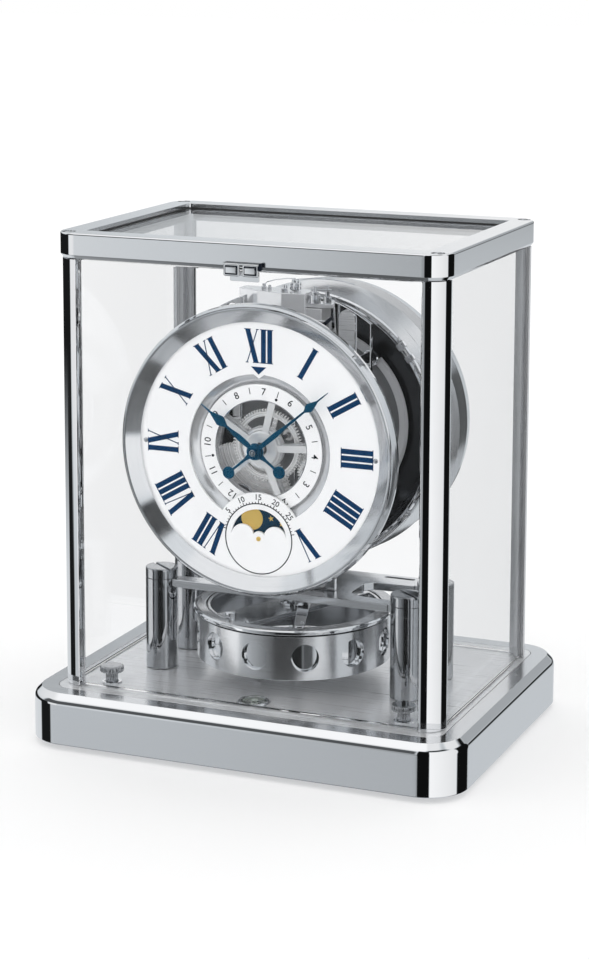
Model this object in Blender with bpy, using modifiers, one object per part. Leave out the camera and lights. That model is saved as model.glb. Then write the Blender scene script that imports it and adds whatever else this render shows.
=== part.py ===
# Atmospheric clock: a torsion-pendulum clock in a glass cabinet, wound by the
# temperature changes of a bellows at its back.
#
# Frame: metres, +Z up, front of the clock is -Y, +X is to the right of a person
# facing the dial.  The origin is on the table, under the centre of the base.
# The named dimensions below are in millimetres; MM turns them into metres.
#
# Every object is one solid.  Pieces that touch keep a gap of 0.3 mm (GAP).

import bpy
import bmesh
from math import asin, atan2, cos, pi, radians, sin
from mathutils import Matrix, Vector

MM = 0.001
GAP = 0.3

# ------------------------------------------------------------------ dimensions
BASE_W, BASE_D, BASE_R = 200.0, 155.0, 18.5      # plinth footprint
BASE_Z0, BASE_Z1, BASE_Z2 = 2.5, 19.6, 24.9      # underside, top of side, top
BASE_BEVEL = 3.2                                 # how far the top edge leans in
INLAY_INSET = 10.9                               # brushed plate let into the top
INLAY_T = 1.7
POCKET_INSET, POCKET_TOP = 12.0, 14.5            # hollow underside

TOP_W, TOP_D, TOP_R = 178.2, 126.8, 10.8         # top frame
TOP_Z0, TOP_Z1 = 214.0, 225.0
TOP_BAR = 10.8
TOP_LEDGE = 13.5
TOP_LEDGE_Z = 218.1
TOP_GLASS_Z = 222.4

POST_X, POST_Y, POST_R = 88.1, 62.5, 9.6         # outer faces of corner posts
POST_NOTCH = 3.0
STAND_Z = BASE_Z2 + GAP                          # what stands on the plate
SIDE_GLASS_X = 86.5
FRONT_GLASS_Y = 60.9
GLASS_T = 3.0

DIAL_Z = 134.3                                   # height of the hands' axis
DIAL_Y = -46.0                                   # front face of the dial
DIAL_R = 57.2
DIAL_OPEN_R = 32.6
SUB_Z, SUB_R = 95.5, 20.2                        # moon scale
MOON_R = 13.3

BAL_X, BAL_Y = 0.0, -5.6                         # balance axis
BAL_R, BAL_RIN, FLANGE_R = 43.2, 39.0, 44.8
BAL_Z0, BAL_Z1, BAL_Z2 = 34.3, 55.0, 57.0
BAL_HOLES, BAL_HOLE_R, BAL_HOLE_Z = 12, 5.9, 44.3
WEB_ANGLE = radians(65.0)

PLAT_Z0, PLAT_Z1 = 62.8, 66.2                    # platform that holds the movement
PILLAR_R = 7.2
PILLARS = {"front_left": (-58.3, -20.0, 71.0), "front_right": (58.3, -20.0, 71.0),
           "rear_left": (-59.0, 12.0, 68.2), "rear_right": (59.0, 12.0, 68.2)}

DRUM_R = 62.3                                    # bellows housing
DRUM_Y0, DRUM_Y1 = 6.4, 46.0
LEVEL_X, LEVEL_Y = 68.3, -50.5                   # levelling screws
DOOR_AXIS = (-FRONT_GLASS_Y, STAND_Z + 0.4)      # y, z of the front glass's foot

# ------------------------------------------------------------------ scene set-up
for old in list(bpy.data.objects):
    bpy.data.objects.remove(old, do_unlink=True)
PARTS = bpy.data.collections.new("atmospheric_clock")
CUTTERS = bpy.data.collections.new("cutters")
bpy.context.scene.collection.children.link(PARTS)
bpy.context.scene.collection.children.link(CUTTERS)


def material(name, color, rough, metal, alpha=1.0, transmission=0.0):
    m = bpy.data.materials.new(name)
    m.use_nodes = True
    b = m.node_tree.nodes["Principled BSDF"]
    b.inputs["Base Color"].default_value = (*color, 1.0)
    b.inputs["Roughness"].default_value = rough
    b.inputs["Metallic"].default_value = metal
    b.inputs["Alpha"].default_value = alpha
    b.inputs["Transmission Weight"].default_value = transmission
    m.diffuse_color = (*color, alpha)
    return m


CHROME = material("polished_plate", (0.80, 0.81, 0.82), 0.06, 1.0)
BRUSHED = material("brushed_steel", (0.66, 0.67, 0.68), 0.32, 1.0)
SATIN = material("satin_nickel", (0.60, 0.61, 0.62), 0.38, 1.0)
GLASS = material("clear_glass", (0.93, 0.95, 0.95), 0.02, 0.0, 0.25, 1.0)
WHITE = material("white_lacquer", (0.90, 0.90, 0.89), 0.45, 0.0)
BLUE = material("blued_steel", (0.02, 0.11, 0.25), 0.25, 1.0)
NAVY = material("moon_sky", (0.01, 0.10, 0.18), 0.40, 0.0)
BRASS = material("brass", (0.78, 0.58, 0.25), 0.28, 1.0)
RUBBER = material("foot_rubber", (0.03, 0.03, 0.03), 0.85, 0.0)
STEEL = material("spring_steel", (0.45, 0.45, 0.46), 0.30, 1.0)


# ------------------------------------------------------------------ helpers
def finish(obj, mat, smooth=True):
    obj.data.materials.clear()
    obj.data.materials.append(mat)
    if smooth:
        obj.data.shade_smooth()
        obj.data.set_sharp_from_angle(angle=radians(35))
    return obj


def place(name, mesh, mat, loc=(0, 0, 0), rot=(0, 0, 0), coll=None, smooth=True):
    obj = bpy.data.objects.new(name, mesh)
    obj.location = [c * MM for c in loc]
    obj.rotation_euler = rot
    (coll or PARTS).objects.link(obj)
    if mat is not None:
        finish(obj, mat, smooth)
    return obj


def from_bm(name, bm, mat, loc=(0, 0, 0), rot=(0, 0, 0), coll=None, smooth=True):
    mesh = bpy.data.meshes.new(name)
    bm.to_mesh(mesh)
    bm.free()
    return place(name, mesh, mat, loc, rot, coll, smooth)


def bm_box(bm, x0, x1, y0, y1, z0, z1):
    m = Matrix.Translation([(x0 + x1) / 2 * MM, (y0 + y1) / 2 * MM, (z0 + z1) / 2 * MM]) \
        @ Matrix.Diagonal([(x1 - x0) * MM, (y1 - y0) * MM, (z1 - z0) * MM, 1.0])
    return bmesh.ops.create_cube(bm, size=1.0, matrix=m)


def bm_rod(bm, p0, p1, r, seg=24, r2=None):
    a, b = Vector(p0) * MM, Vector(p1) * MM
    d = b - a
    m = Matrix.Translation((a + b) / 2) @ d.to_track_quat('Z', 'Y').to_matrix().to_4x4()
    return bmesh.ops.create_cone(bm, cap_ends=True, cap_tris=False, segments=seg,
                                 radius1=r * MM, radius2=(r if r2 is None else r2) * MM,
                                 depth=d.length, matrix=m)


def box(name, dims, mat, loc=(0, 0, 0), rot=(0, 0, 0)):
    bm = bmesh.new()
    bm_box(bm, *dims)
    return from_bm(name, bm, mat, loc, rot, smooth=False)


def cutter(name, build):
    bm = bmesh.new()
    build(bm)
    obj = from_bm(name, bm, None, coll=CUTTERS)
    obj.hide_render = True
    obj.display_type = 'WIRE'
    return obj


def boolean(obj, tool, op='DIFFERENCE'):
    m = obj.modifiers.new(op.title(), 'BOOLEAN')
    m.operation = op
    m.solver = 'EXACT'
    m.object = tool
    return obj


def cut(obj, build):
    return boolean(obj, cutter(obj.name + "_cut%d" % len(obj.modifiers), build))


def join(obj, build):
    return boolean(obj, cutter(obj.name + "_add%d" % len(obj.modifiers), build), 'UNION')


def turned(name, profile, mat, loc=(0, 0, 0), axis='Z', seg=48):
    """A turned piece: profile is (radius, height) in mm, down the outer side.
    axis 'Z' stands up; axis 'Y' lies along Y with height towards the front.
    A profile that starts on the axis is closed by the axis, others close on
    themselves."""
    mesh = bpy.data.meshes.new(name)
    verts = [(r * MM, 0.0, h * MM) for r, h in profile]
    n = len(verts)
    closed = profile[0][0] > 1e-6
    edges = [(i, i + 1) for i in range(n - 1)] + ([(n - 1, 0)] if closed else [])
    mesh.from_pydata(verts, edges, [])
    rot = (0, 0, 0) if axis == 'Z' else (pi / 2, 0, 0)
    obj = place(name, mesh, None, loc, rot)
    s = obj.modifiers.new("Screw", 'SCREW')
    s.axis = 'Z'
    s.angle = 2 * pi
    s.steps = seg
    s.render_steps = seg
    s.use_merge_vertices = True
    s.merge_threshold = 0.00001
    s.use_smooth_shade = True
    obj.data.materials.append(mat)
    return obj


def arc(cx, cy, r, a0, a1, n):
    return [(cx + r * cos(a0 + (a1 - a0) * i / n), cy + r * sin(a0 + (a1 - a0) * i / n))
            for i in range(n + 1)]


def ring_pts(cx, cy, r, n):
    return [(cx + r * cos(2 * pi * i / n), cy + r * sin(2 * pi * i / n)) for i in range(n)]


def flat(name, outlines, thickness, mat, loc=(0, 0, 0), axis='Z'):
    """A flat piece from closed 2D outlines (first the outside, then holes).
    loc is the middle of its thickness.  axis 'Z': outline is x, y.
    axis 'Y': outline is x, z and the piece stands facing the front."""
    cu = bpy.data.curves.new(name, 'CURVE')
    cu.dimensions = '2D'
    cu.fill_mode = 'BOTH'
    cu.extrude = thickness / 2 * MM
    for pts in outlines:
        sp = cu.splines.new('POLY')
        sp.points.add(len(pts) - 1)
        for p, (x, y) in zip(sp.points, pts):
            p.co = (x * MM, y * MM, 0.0, 1.0)
        sp.use_cyclic_u = True
    tmp = bpy.data.objects.new(name + "_outline", cu)
    tmp.location = [c * MM for c in loc]
    tmp.rotation_euler = (0, 0, 0) if axis == 'Z' else (pi / 2, 0, 0)
    PARTS.objects.link(tmp)
    bpy.context.view_layer.update()
    dg = bpy.context.evaluated_depsgraph_get()
    mesh = bpy.data.meshes.new_from_object(tmp.evaluated_get(dg))
    bm = bmesh.new()
    bm.from_mesh(mesh)
    bmesh.ops.remove_doubles(bm, verts=bm.verts, dist=1e-6)
    bmesh.ops.recalc_face_normals(bm, faces=bm.faces)
    bm.to_mesh(mesh)
    bm.free()
    mesh.name = name
    obj = bpy.data.objects.new(name, mesh)
    PARTS.objects.link(obj)
    obj.matrix_world = tmp.matrix_world.copy()
    bpy.data.objects.remove(tmp, do_unlink=True)
    bpy.data.curves.remove(cu)
    return finish(obj, mat)


def rounded_rect(w, d, r, n=6, cx=0.0, cy=0.0):
    pts = []
    for sx, sy, a in ((1, 1, 0), (-1, 1, pi / 2), (-1, -1, pi), (1, -1, 3 * pi / 2)):
        pts += arc(cx + sx * (w / 2 - r), cy + sy * (d / 2 - r), r, a, a + pi / 2, n)
    return pts


def slab_bm(w, d, r, z0, z1, n=8):
    """A rounded slab: a cube whose upright edges are bevelled."""
    bm = bmesh.new()
    bm_box(bm, -w / 2, w / 2, -d / 2, d / 2, z0, z1)
    up = [e for e in bm.edges if abs(e.verts[0].co.z - e.verts[1].co.z) > 1e-6]
    bmesh.ops.bevel(bm, geom=up, offset=r * MM, offset_type='OFFSET', segments=n,
                    profile=0.5, affect='EDGES')
    return bm


def face_at(bm, z, up=True):
    """The biggest flat face of a slab at height z that faces up or down."""
    want = 1.0 if up else -1.0
    fs = [f for f in bm.faces if f.normal.z * want > 0.99
          and abs(f.calc_center_median().z - z * MM) < 1e-5]
    return max(fs, key=lambda f: f.calc_area())


def inset(bm, face, width, rise=0.0):
    """Insets a face by width and moves the inner face along its normal."""
    bmesh.ops.inset_region(bm, faces=[face], thickness=width * MM, depth=rise * MM,
                           use_even_offset=True)
    return face


def push(bm, face, dist):
    """Extrudes a face straight along Z by dist."""
    res = bmesh.ops.extrude_face_region(bm, geom=[face])
    new = [v for v in res["geom"] if isinstance(v, bmesh.types.BMVert)]
    bmesh.ops.translate(bm, verts=new, vec=(0, 0, dist * MM))
    nf = [f for f in res["geom"] if isinstance(f, bmesh.types.BMFace)][0]
    if face.is_valid:
        bmesh.ops.delete(bm, geom=[face], context='FACES')
    return nf


# ================================================================== base
bm = slab_bm(BASE_W, BASE_D, BASE_R, BASE_Z0, BASE_Z1, 6)
bm.normal_update()
f = face_at(bm, BASE_Z1)
inset(bm, f, 1.0, 3.0)                        # rounded shoulder in two steps
bm.normal_update()
inset(bm, f, BASE_BEVEL - 1.0, BASE_Z2 - BASE_Z1 - 3.0)
bm.normal_update()
inset(bm, f, INLAY_INSET - GAP - BASE_BEVEL, 0.0)
bm.normal_update()
push(bm, f, -(INLAY_T + GAP))
bm.normal_update()
f = face_at(bm, BASE_Z0, up=False)
inset(bm, f, 1.2, 0.0)
bm.normal_update()
inset(bm, f, POCKET_INSET - 1.2, 0.0)
bm.normal_update()
push(bm, f, POCKET_TOP - BASE_Z0)
bmesh.ops.recalc_face_normals(bm, faces=bm.faces)
plinth = from_bm("base_plinth", bm, BRUSHED)


def level_holes(bm):
    for sx in (-1, 1):
        bm_rod(bm, (sx * LEVEL_X, LEVEL_Y, -2), (sx * LEVEL_X, LEVEL_Y, 30), 3.1, 16)


cut(plinth, level_holes)

inlay_w, inlay_d = BASE_W - 2 * INLAY_INSET, BASE_D - 2 * INLAY_INSET
inlay = from_bm("base_top_plate",
                slab_bm(inlay_w, inlay_d, 7.3, BASE_Z2 - INLAY_T, BASE_Z2, 6), BRUSHED)


def inlay_holes(bm):
    level_holes(bm)
    bm_rod(bm, (0, -51.4, 20), (0, -51.4, 30), 7.3, 32)


cut(inlay, inlay_holes)

cover_w = BASE_W - 2 * POCKET_INSET - 2 * GAP
cover_d = BASE_D - 2 * POCKET_INSET - 2 * GAP
cover = from_bm("base_bottom_cover",
                slab_bm(cover_w, cover_d, BASE_R - POCKET_INSET - GAP, 3.0, 5.4, 4), SATIN)
cut(cover, level_holes)

turned("rear_foot", [(0, 2.7), (3.0, 2.7), (3.0, 2.2), (8.0, 2.2), (8.6, 1.6), (8.6, 0.0), (0, 0.0)],
       RUBBER, (0, 58.0, 0), seg=20)

for side, sx in (("left", -1), ("right", 1)):
    x = sx * LEVEL_X
    # The pad slides up and down on the screw's tip and doesn't turn.
    turned("levelling_foot_" + side,
           [(0, 0.8), (2.0, 0.8), (2.0, 2.2), (7.2, 2.2), (7.8, 1.6), (7.8, 0.0), (0, 0.0)],
           RUBBER, (x, LEVEL_Y, 0), seg=20)
    s = turned("levelling_screw_" + side,
               [(0, 31.3), (4.7, 31.3), (5.2, 30.9), (5.2, 28.9), (4.7, 28.4), (2.7, 28.4),
                (2.7, 4.0), (1.6, 3.0), (1.6, 1.1), (0, 1.1)],
               CHROME, (x, LEVEL_Y, 0), seg=16)

turned("level_cup",
       [(0, 24.0), (5.5, 24.0), (5.5, 25.6), (6.7, 25.6), (7.0, 25.3), (7.0, 23.2), (0, 23.2)],
       CHROME, (0, -51.4, 0), seg=24)
turned("level_lens", [(0, 25.9), (2.6, 25.8), (4.6, 25.4), (5.2, 25.0), (5.2, 24.3), (0, 24.3)],
       GLASS, (0, -51.4, 0), seg=20)

# Lock lever under the balance: a hub on the plate and a short arm to the front.
lock = turned("balance_lock_lever", [(0, 30.2), (4.4, 30.2), (4.8, 29.8), (4.8, 27.2), (8.0, 27.2), (8.0, STAND_Z), (0, STAND_Z)],
              CHROME, (BAL_X, BAL_Y, 0), seg=14)


def lock_arm(bm):
    c = Matrix.Translation([BAL_X * MM, BAL_Y * MM, 0]) @ Matrix.Rotation(radians(-122), 4, 'Z')
    m = c @ Matrix.Translation([14.0 * MM, 0, 26.1 * MM]) @ Matrix.Diagonal([16.0 * MM, 5.0 * MM, 1.6 * MM, 1.0])
    bmesh.ops.create_cube(bm, size=1.0, matrix=m)


join(lock, lock_arm)


def lock_tip(bm):
    c = Matrix.Translation([BAL_X * MM, BAL_Y * MM, 0]) @ Matrix.Rotation(radians(-122), 4, 'Z')
    m = c @ Matrix.Translation([20.0 * MM, 0, 27.4 * MM])
    bmesh.ops.create_cone(bm, cap_ends=True, segments=16, radius1=1.7 * MM, radius2=1.7 * MM,
                          depth=4.1 * MM, matrix=m)


join(lock, lock_tip)

# ================================================================== cabinet
cxp, cyp = POST_X - POST_R, POST_Y - POST_R      # centre of the post's arc


def post_outline(sx, sy):
    pts = arc(0, 0, POST_R, 0, pi / 2, 9) + [(0, POST_NOTCH), (POST_NOTCH, POST_NOTCH), (POST_NOTCH, 0)]
    pts = [(sx * (cxp + x), sy * (cyp + y)) for x, y in pts]
    return pts if sx * sy > 0 else pts[::-1]


SCREW_X, SCREW_Y = cxp + 5.0, cyp + 5.0
for sy, fb in ((-1, "front"), (1, "rear")):
    for sx, lr in ((-1, "left"), (1, "right")):
        name = "%s_%s" % (fb, lr)
        post = flat("corner_post_" + name, [post_outline(sx, sy)], TOP_Z0 - GAP - STAND_Z, CHROME,
                    (0, 0, (TOP_Z0 - GAP + STAND_Z) / 2))
        cut(post, lambda bm, sx=sx, sy=sy: bm_rod(bm, (sx * SCREW_X, sy * SCREW_Y, 206),
                                                  (sx * SCREW_X, sy * SCREW_Y, 216), 1.35, 10))
        scr = turned("top_screw_" + name,
                     [(0, 224.4), (2.5, 224.4), (2.5, 222.6), (1.05, 222.6),
                      (1.05, 207.0), (0, 207.0)],
                     CHROME, (sx * SCREW_X, sy * SCREW_Y, 0), seg=10)
        cut(scr, lambda bm, sx=sx, sy=sy: bm_box(bm, sx * SCREW_X - 4, sx * SCREW_X + 4,
                                                 sy * SCREW_Y - 0.35, sy * SCREW_Y + 0.35, 223.7, 226))

bm = slab_bm(TOP_W, TOP_D, TOP_R, TOP_Z0, TOP_Z1 - 0.8, 6)
bm.normal_update()
f = face_at(bm, TOP_Z1 - 0.8)
inset(bm, f, 0.8, 0.8)
bm.normal_update()
bmesh.ops.recalc_face_normals(bm, faces=bm.faces)
top = from_bm("top_frame", bm, BRUSHED)


def top_opening(bm):
    bm_box(bm, -TOP_W / 2 + TOP_BAR, TOP_W / 2 - TOP_BAR, -TOP_D / 2 + TOP_BAR, TOP_D / 2 - TOP_BAR,
           TOP_LEDGE_Z, 230)


def top_through(bm):
    bm_box(bm, -TOP_W / 2 + TOP_LEDGE, TOP_W / 2 - TOP_LEDGE, -TOP_D / 2 + TOP_LEDGE,
           TOP_D / 2 - TOP_LEDGE, 210, 220)


def top_screw_holes(bm):
    for sx in (-1, 1):
        for sy in (-1, 1):
            bm_rod(bm, (sx * SCREW_X, sy * SCREW_Y, 222.2), (sx * SCREW_X, sy * SCREW_Y, 228), 2.9, 12)


def top_shank_holes(bm):
    for sx in (-1, 1):
        for sy in (-1, 1):
            bm_rod(bm, (sx * SCREW_X, sy * SCREW_Y, 210), (sx * SCREW_X, sy * SCREW_Y, 223), 1.35, 10)


cut(top, top_opening)
cut(top, top_through)
cut(top, top_screw_holes)
cut(top, top_shank_holes)

gx, gy = TOP_W / 2 - TOP_BAR - GAP, TOP_D / 2 - TOP_BAR - GAP
box("top_glass", (-gx, gx, -gy, gy, TOP_LEDGE_Z + GAP, TOP_GLASS_Z), GLASS)
ge = cyp - GAP
gt = TOP_Z0 - GAP
box("left_glass", (-SIDE_GLASS_X, -SIDE_GLASS_X + GLASS_T, -ge, ge, STAND_Z, gt), GLASS)
box("right_glass", (SIDE_GLASS_X - GLASS_T, SIDE_GLASS_X, -ge, ge, STAND_Z, gt), GLASS)
gw = cxp - GAP
box("rear_glass", (-gw, gw, FRONT_GLASS_Y - GLASS_T, FRONT_GLASS_Y, STAND_Z, gt), GLASS)

# The front glass stands in front of the others and tips forward on its foot.
ay, az = DOOR_AXIS
box("front_glass", (-gw + 0.2, gw - 0.2, 0.0, GLASS_T, 0.0, TOP_Z0 - 0.6 - az), GLASS, (0, ay, az))

# Catch at the top of the front glass: a bracket on the glass, and a sprung
# thumb piece that laps over the frame's lower edge.
bm = bmesh.new()
bm_box(bm, -8.6, 8.6, -64.3, -FRONT_GLASS_Y - GAP, 208.6, 210.6)
bracket = from_bm("front_catch_bracket", bm, CHROME, smooth=False)


def catch_post(bm):
    bm_box(bm, -8.6, 8.6, -63.0, -FRONT_GLASS_Y - GAP, 206.6, 209.6)


join(bracket, catch_post)
CATCH_AX = (-64.6, 211.8)
bm = bmesh.new()
bm_box(bm, -8.4, 8.4, -0.7, 0.4, 0.0, 5.2)
lever = from_bm("front_catch_lever", bm, CHROME, (0, CATCH_AX[0], CATCH_AX[1]), smooth=False)


def lever_pad(bm):
    bm_box(bm, -7.6, -0.8, -66.4, -64.9, 212.4, 216.3)


def lever_pad2(bm):
    bm_box(bm, 0.8, 7.6, -66.4, -64.9, 212.4, 216.3)


join(lever, lever_pad)
join(lever, lever_pad2)

# ================================================================== movement stand
for key, (x, y, ztop) in PILLARS.items():
    s = 1 if x > 0 else -1
    p = turned("pillar_" + key, [(0, PLAT_Z1), (PILLAR_R, PLAT_Z1), (PILLAR_R, STAND_Z), (0, STAND_Z)],
               CHROME, (x, y, 0), seg=20)

    def slot(bm, x=x, y=y, s=s):
        lo, hi = sorted((x - s * 10.0, x + s * 2.6))
        bm_box(bm, lo, hi, y - 3.3, y + 3.3, PLAT_Z0 - GAP, PLAT_Z1 + 2)

    def bore(bm, x=x, y=y):
        bm_rod(bm, (x, y, 52.0), (x, y, 64.0), 2.1, 12)

    cut(p, slot)
    cut(p, bore)
    c = turned("pillar_screw_" + key,
               [(0, ztop), (PILLAR_R - 0.5, ztop), (PILLAR_R, ztop - 0.5), (PILLAR_R, PLAT_Z1 + GAP),
                (1.8, PLAT_Z1 + GAP), (1.8, 53.0), (0, 53.0)],
               CHROME, (x, y, 0), seg=20)

    def kerf(bm, x=x, y=y, ztop=ztop):
        m = Matrix.Translation([x * MM, y * MM, ztop * MM]) @ Matrix.Rotation(radians(-38), 4, 'Z') \
            @ Matrix.Diagonal([20 * MM, 1.3 * MM, 2.0 * MM, 1.0])
        bmesh.ops.create_cube(bm, size=1.0, matrix=m)

    cut(c, kerf)

fx, fy = 58.3, -20.0
rx, ry = 59.0, 12.0
half = [(-3.0, 22.0), (-3.0, -23.5), (50.4, -23.5), (50.4, fy - 3.0), (fx + 2.0, fy - 3.0), (fx + 2.0, fy + 3.0),
        (50.4, fy + 3.0), (50.4, -16.5), (33.0, -15.0), (29.0, -11.0), (29.0, 3.0), (33.0, 7.0),
        (51.2, 8.0), (51.2, ry - 3.0), (rx + 2.0, ry - 3.0), (rx + 2.0, ry + 3.0), (51.2, ry + 3.0),
        (51.2, 22.0)]
plat = flat("movement_platform", [half], PLAT_Z1 - PLAT_Z0, SATIN, (0, 0, (PLAT_Z0 + PLAT_Z1) / 2))
mir = plat.modifiers.new("Mirror", 'MIRROR')
mir.use_axis = (True, False, False)
mir.use_bisect_axis = (True, False, False)
mir.use_clip = True
mir.merge_threshold = 0.00001


def clamp_holes(bm):
    bm_rod(bm, (BAL_X, BAL_Y, 60), (BAL_X, BAL_Y, 70), 9.0, 20)
    for x, y, _ in PILLARS.values():
        bm_rod(bm, (x, y, 60), (x, y, 70), 2.1, 12)


cut(plat, clamp_holes)

# Tapered finger from the platform to just over the balance's rim.
arm = flat("balance_guard_finger", [[(5.6, -14.5), (18.6, -51.0), (20.4, -53.8), (23.6, -52.4), (23.0, -49.6), (11.4, -14.5)]],
           1.0, CHROME, (0, 0, 60.9))
join(arm, lambda bm: bm_box(bm, 6.4, 10.6, -21.5, -15.0, 61.0, PLAT_Z0 - GAP))

# ================================================================== balance
ring = turned("balance_ring",
              [(FLANGE_R - 0.4, BAL_Z2), (FLANGE_R, BAL_Z2 - 0.4), (FLANGE_R, BAL_Z1 + 0.3),
               (BAL_R, BAL_Z1), (BAL_R, BAL_Z0), (BAL_RIN, BAL_Z0), (BAL_RIN, BAL_Z2)],
              BRUSHED, (BAL_X, BAL_Y, 0), seg=52)


def ring_holes(bm):
    for i in range(BAL_HOLES):
        a = radians(-91.3) + 2 * pi * i / BAL_HOLES
        bm_rod(bm, (BAL_X + 41 * cos(a), BAL_Y + 41 * sin(a), BAL_HOLE_Z),
               (BAL_X + 47 * cos(a), BAL_Y + 47 * sin(a), BAL_HOLE_Z), BAL_HOLE_R, 12)


cut(ring, ring_holes)


def d_opening(side, r=37.4, w=10.0, n=14):
    a = asin(w / r)
    pts = arc(0, 0, r, a, pi - a, n)
    out = []
    for x, y in pts:
        p = Matrix.Rotation(WEB_ANGLE + (0 if side > 0 else pi), 2) @ Vector((x, y))
        out.append((p.x, p.y))
    return out


wheel = flat("balance_web", [ring_pts(0, 0, BAL_RIN - GAP, 48), d_opening(1)[::-1], d_opening(-1)[::-1],
                             ring_pts(0, 0, 2.9, 16)[::-1]],
             2.0, BRUSHED, (BAL_X, BAL_Y, 55.6))
TRIM_A = radians(-117)


def trim_weight(bm):
    x, y = BAL_X + 36.6 * cos(TRIM_A), BAL_Y + 36.6 * sin(TRIM_A)
    bm_rod(bm, (x, y, 55.5), (x, y, 59.3), 2.2, 16)


join(wheel, trim_weight)
turned("balance_staff",
       [(0, 69.0), (3.4, 69.0), (3.6, 68.8), (3.6, 67.7), (3.4, 67.5), (1.6, 67.5), (1.6, 61.0), (3.6, 61.0), (3.9, 60.6),
        (3.9, 56.9), (2.6, 56.9), (2.6, 37.0), (1.2, 33.0), (0, 31.0)],
       CHROME, (BAL_X, BAL_Y, 0), seg=14)

# ================================================================== suspension
bridge = flat("suspension_bridge",
              [[(21.5, 1.0), (-21.5, 1.0)] +
               [(21.5 * cos(a), -2.5 + 14.5 * sin(a)) for a in [pi + pi * i / 16 for i in range(17)]]],
              11.0, CHROME, (0, 0, 191.5))
cut(bridge, lambda bm: bm_rod(bm, (BAL_X, BAL_Y, 180), (BAL_X, BAL_Y, 200), 1.3, 12))
turned("suspension_knob", [(0, 202.0), (2.2, 202.0), (2.5, 201.7), (2.5, 197.3), (1.0, 197.3), (1.0, 187.5), (0, 187.5)],
       CHROME, (BAL_X, BAL_Y, 0), seg=14)
turned("torsion_wire", [(0, 187.1), (0.5, 187.1), (0.5, 69.4), (0, 69.4)], STEEL, (BAL_X, BAL_Y, 0), seg=8)

# ================================================================== movement plates
BP_Y0, BP_Y1 = -13.0, -10.5                      # back plate
FP_Y0, FP_Y1 = -41.7, -39.2                      # front plate
POSTS = ((-30.0, 168.0), (30.0, 168.0), (-33.0, 90.0), (33.0, 90.0))
CENTER = (0.0, DIAL_Z)
THIRD = (22.0, 124.0)
ESCAPE = (14.5, 107.3)
BARREL = (-14.0, 109.7)
ANCHOR = (5.2, 92.0)

back_outline = [(-38, PLAT_Z1 + GAP), (38, PLAT_Z1 + GAP), (38, 158.0)] + \
    [(38 * cos(a), 158.0 + 27.6 * sin(a)) for a in [pi * i / 18 for i in range(1, 18)]] + [(-38, 158.0)]


def arch_window(sx):
    x0, x1 = (23.6, 31.0)
    pts = [(x0, 140.0), (x1, 140.0), (x1, 160.0)] + \
        [((x0 + x1) / 2 + 3.7 * cos(a), 160.0 + 7.0 * sin(a)) for a in [pi * i / 8 for i in range(1, 8)]] + [(x0, 160.0)]
    pts = [(sx * x, z) for x, z in pts]
    return pts[::-1] if sx > 0 else pts


back = flat("back_plate", [back_outline, arch_window(1), arch_window(-1),
                           [(-17, 67.5), (-17, 84.0), (17, 84.0), (17, 67.5)]],
            BP_Y1 - BP_Y0, SATIN, (0, (BP_Y0 + BP_Y1) / 2, 0), axis='Y')


def plate_posts(bm):
    for x, z in POSTS:
        bm_rod(bm, (x, BP_Y0 + 1.0, z), (x, FP_Y1 + GAP, z), 2.8, 14)


def back_bearings(bm):
    for x, z in (CENTER, THIRD, ESCAPE, BARREL, ANCHOR):
        bm_rod(bm, (x, BP_Y0 - 1, z), (x, BP_Y1 + 1, z), 1.3, 10)


join(back, plate_posts)
cut(back, back_bearings)


def front_windows():
    """Three windows round the centre, through which the wheels are seen."""
    out = []
    for a0 in (23, 143, 263):
        o = arc(0, DIAL_Z, 20.0, radians(a0), radians(a0 + 100), 10)
        i = arc(0, DIAL_Z, 9.5, radians(a0 + 96), radians(a0 + 4), 6)
        out.append((o + i)[::-1])
    return out


front = flat("front_plate", [ring_pts(0, DIAL_Z, 60.2, 48)] + front_windows() +
             [ring_pts(0, DIAL_Z, 2.6, 16)[::-1]],
             FP_Y1 - FP_Y0, SATIN, (0, (FP_Y0 + FP_Y1) / 2, 0), axis='Y')


def dial_feet(bm):
    for a in (radians(90), radians(205), radians(335)):
        x, z = 46.0 * cos(a), DIAL_Z + 46.0 * sin(a)
        bm_rod(bm, (x, FP_Y0 + 1.0, z), (x, DIAL_Y + 1.2 + GAP, z), 2.2, 12)


def front_bearings(bm):
    for x, z in (THIRD, ESCAPE, BARREL, (0.0, SUB_Z)):
        bm_rod(bm, (x, FP_Y0 - 1, z), (x, FP_Y1 + 1, z), 1.3, 10)


join(front, dial_feet)
cut(front, front_bearings)


# ---- train: blanks without teeth, 0.3 mm apart at their pitch circles
def arbor(name, pos, y_front, y_back, discs, mat, seg=20, r=1.0):
    """A turned arbor along Y at pos (x, z); discs are (y0, y1, radius)."""
    prof = [(0, -y_front), (r, -y_front)]
    for y0, y1, rad in sorted(discs):
        prof += [(r, -y0), (rad, -y0), (rad, -y1), (r, -y1)]
    prof += [(r, -y_back), (0, -y_back)]
    return turned(name, prof, mat, (pos[0], 0, pos[1]), axis='Y', seg=seg)


arbor("center_wheel_arbor", CENTER, -52.2, -11.0,
      [(-36.6, -35.4, 16.0), (-33.4, -31.0, 4.0)], BRASS)
arbor("third_wheel", THIRD, -40.6, -11.0,
      [(-37.0, -35.0, 8.0), (-27.0, -25.8, 12.0)], BRASS)
arbor("escape_wheel", ESCAPE, -40.6, -11.0,
      [(-27.4, -25.4, 6.0), (-18.5, -17.5, 9.0)], STEEL)
arbor("mainspring_barrel", BARREL, -40.6, -11.0,
      [(-33.0, -31.4, 24.0), (-31.1, -20.0, 18.0)], BRASS, 28)

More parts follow.
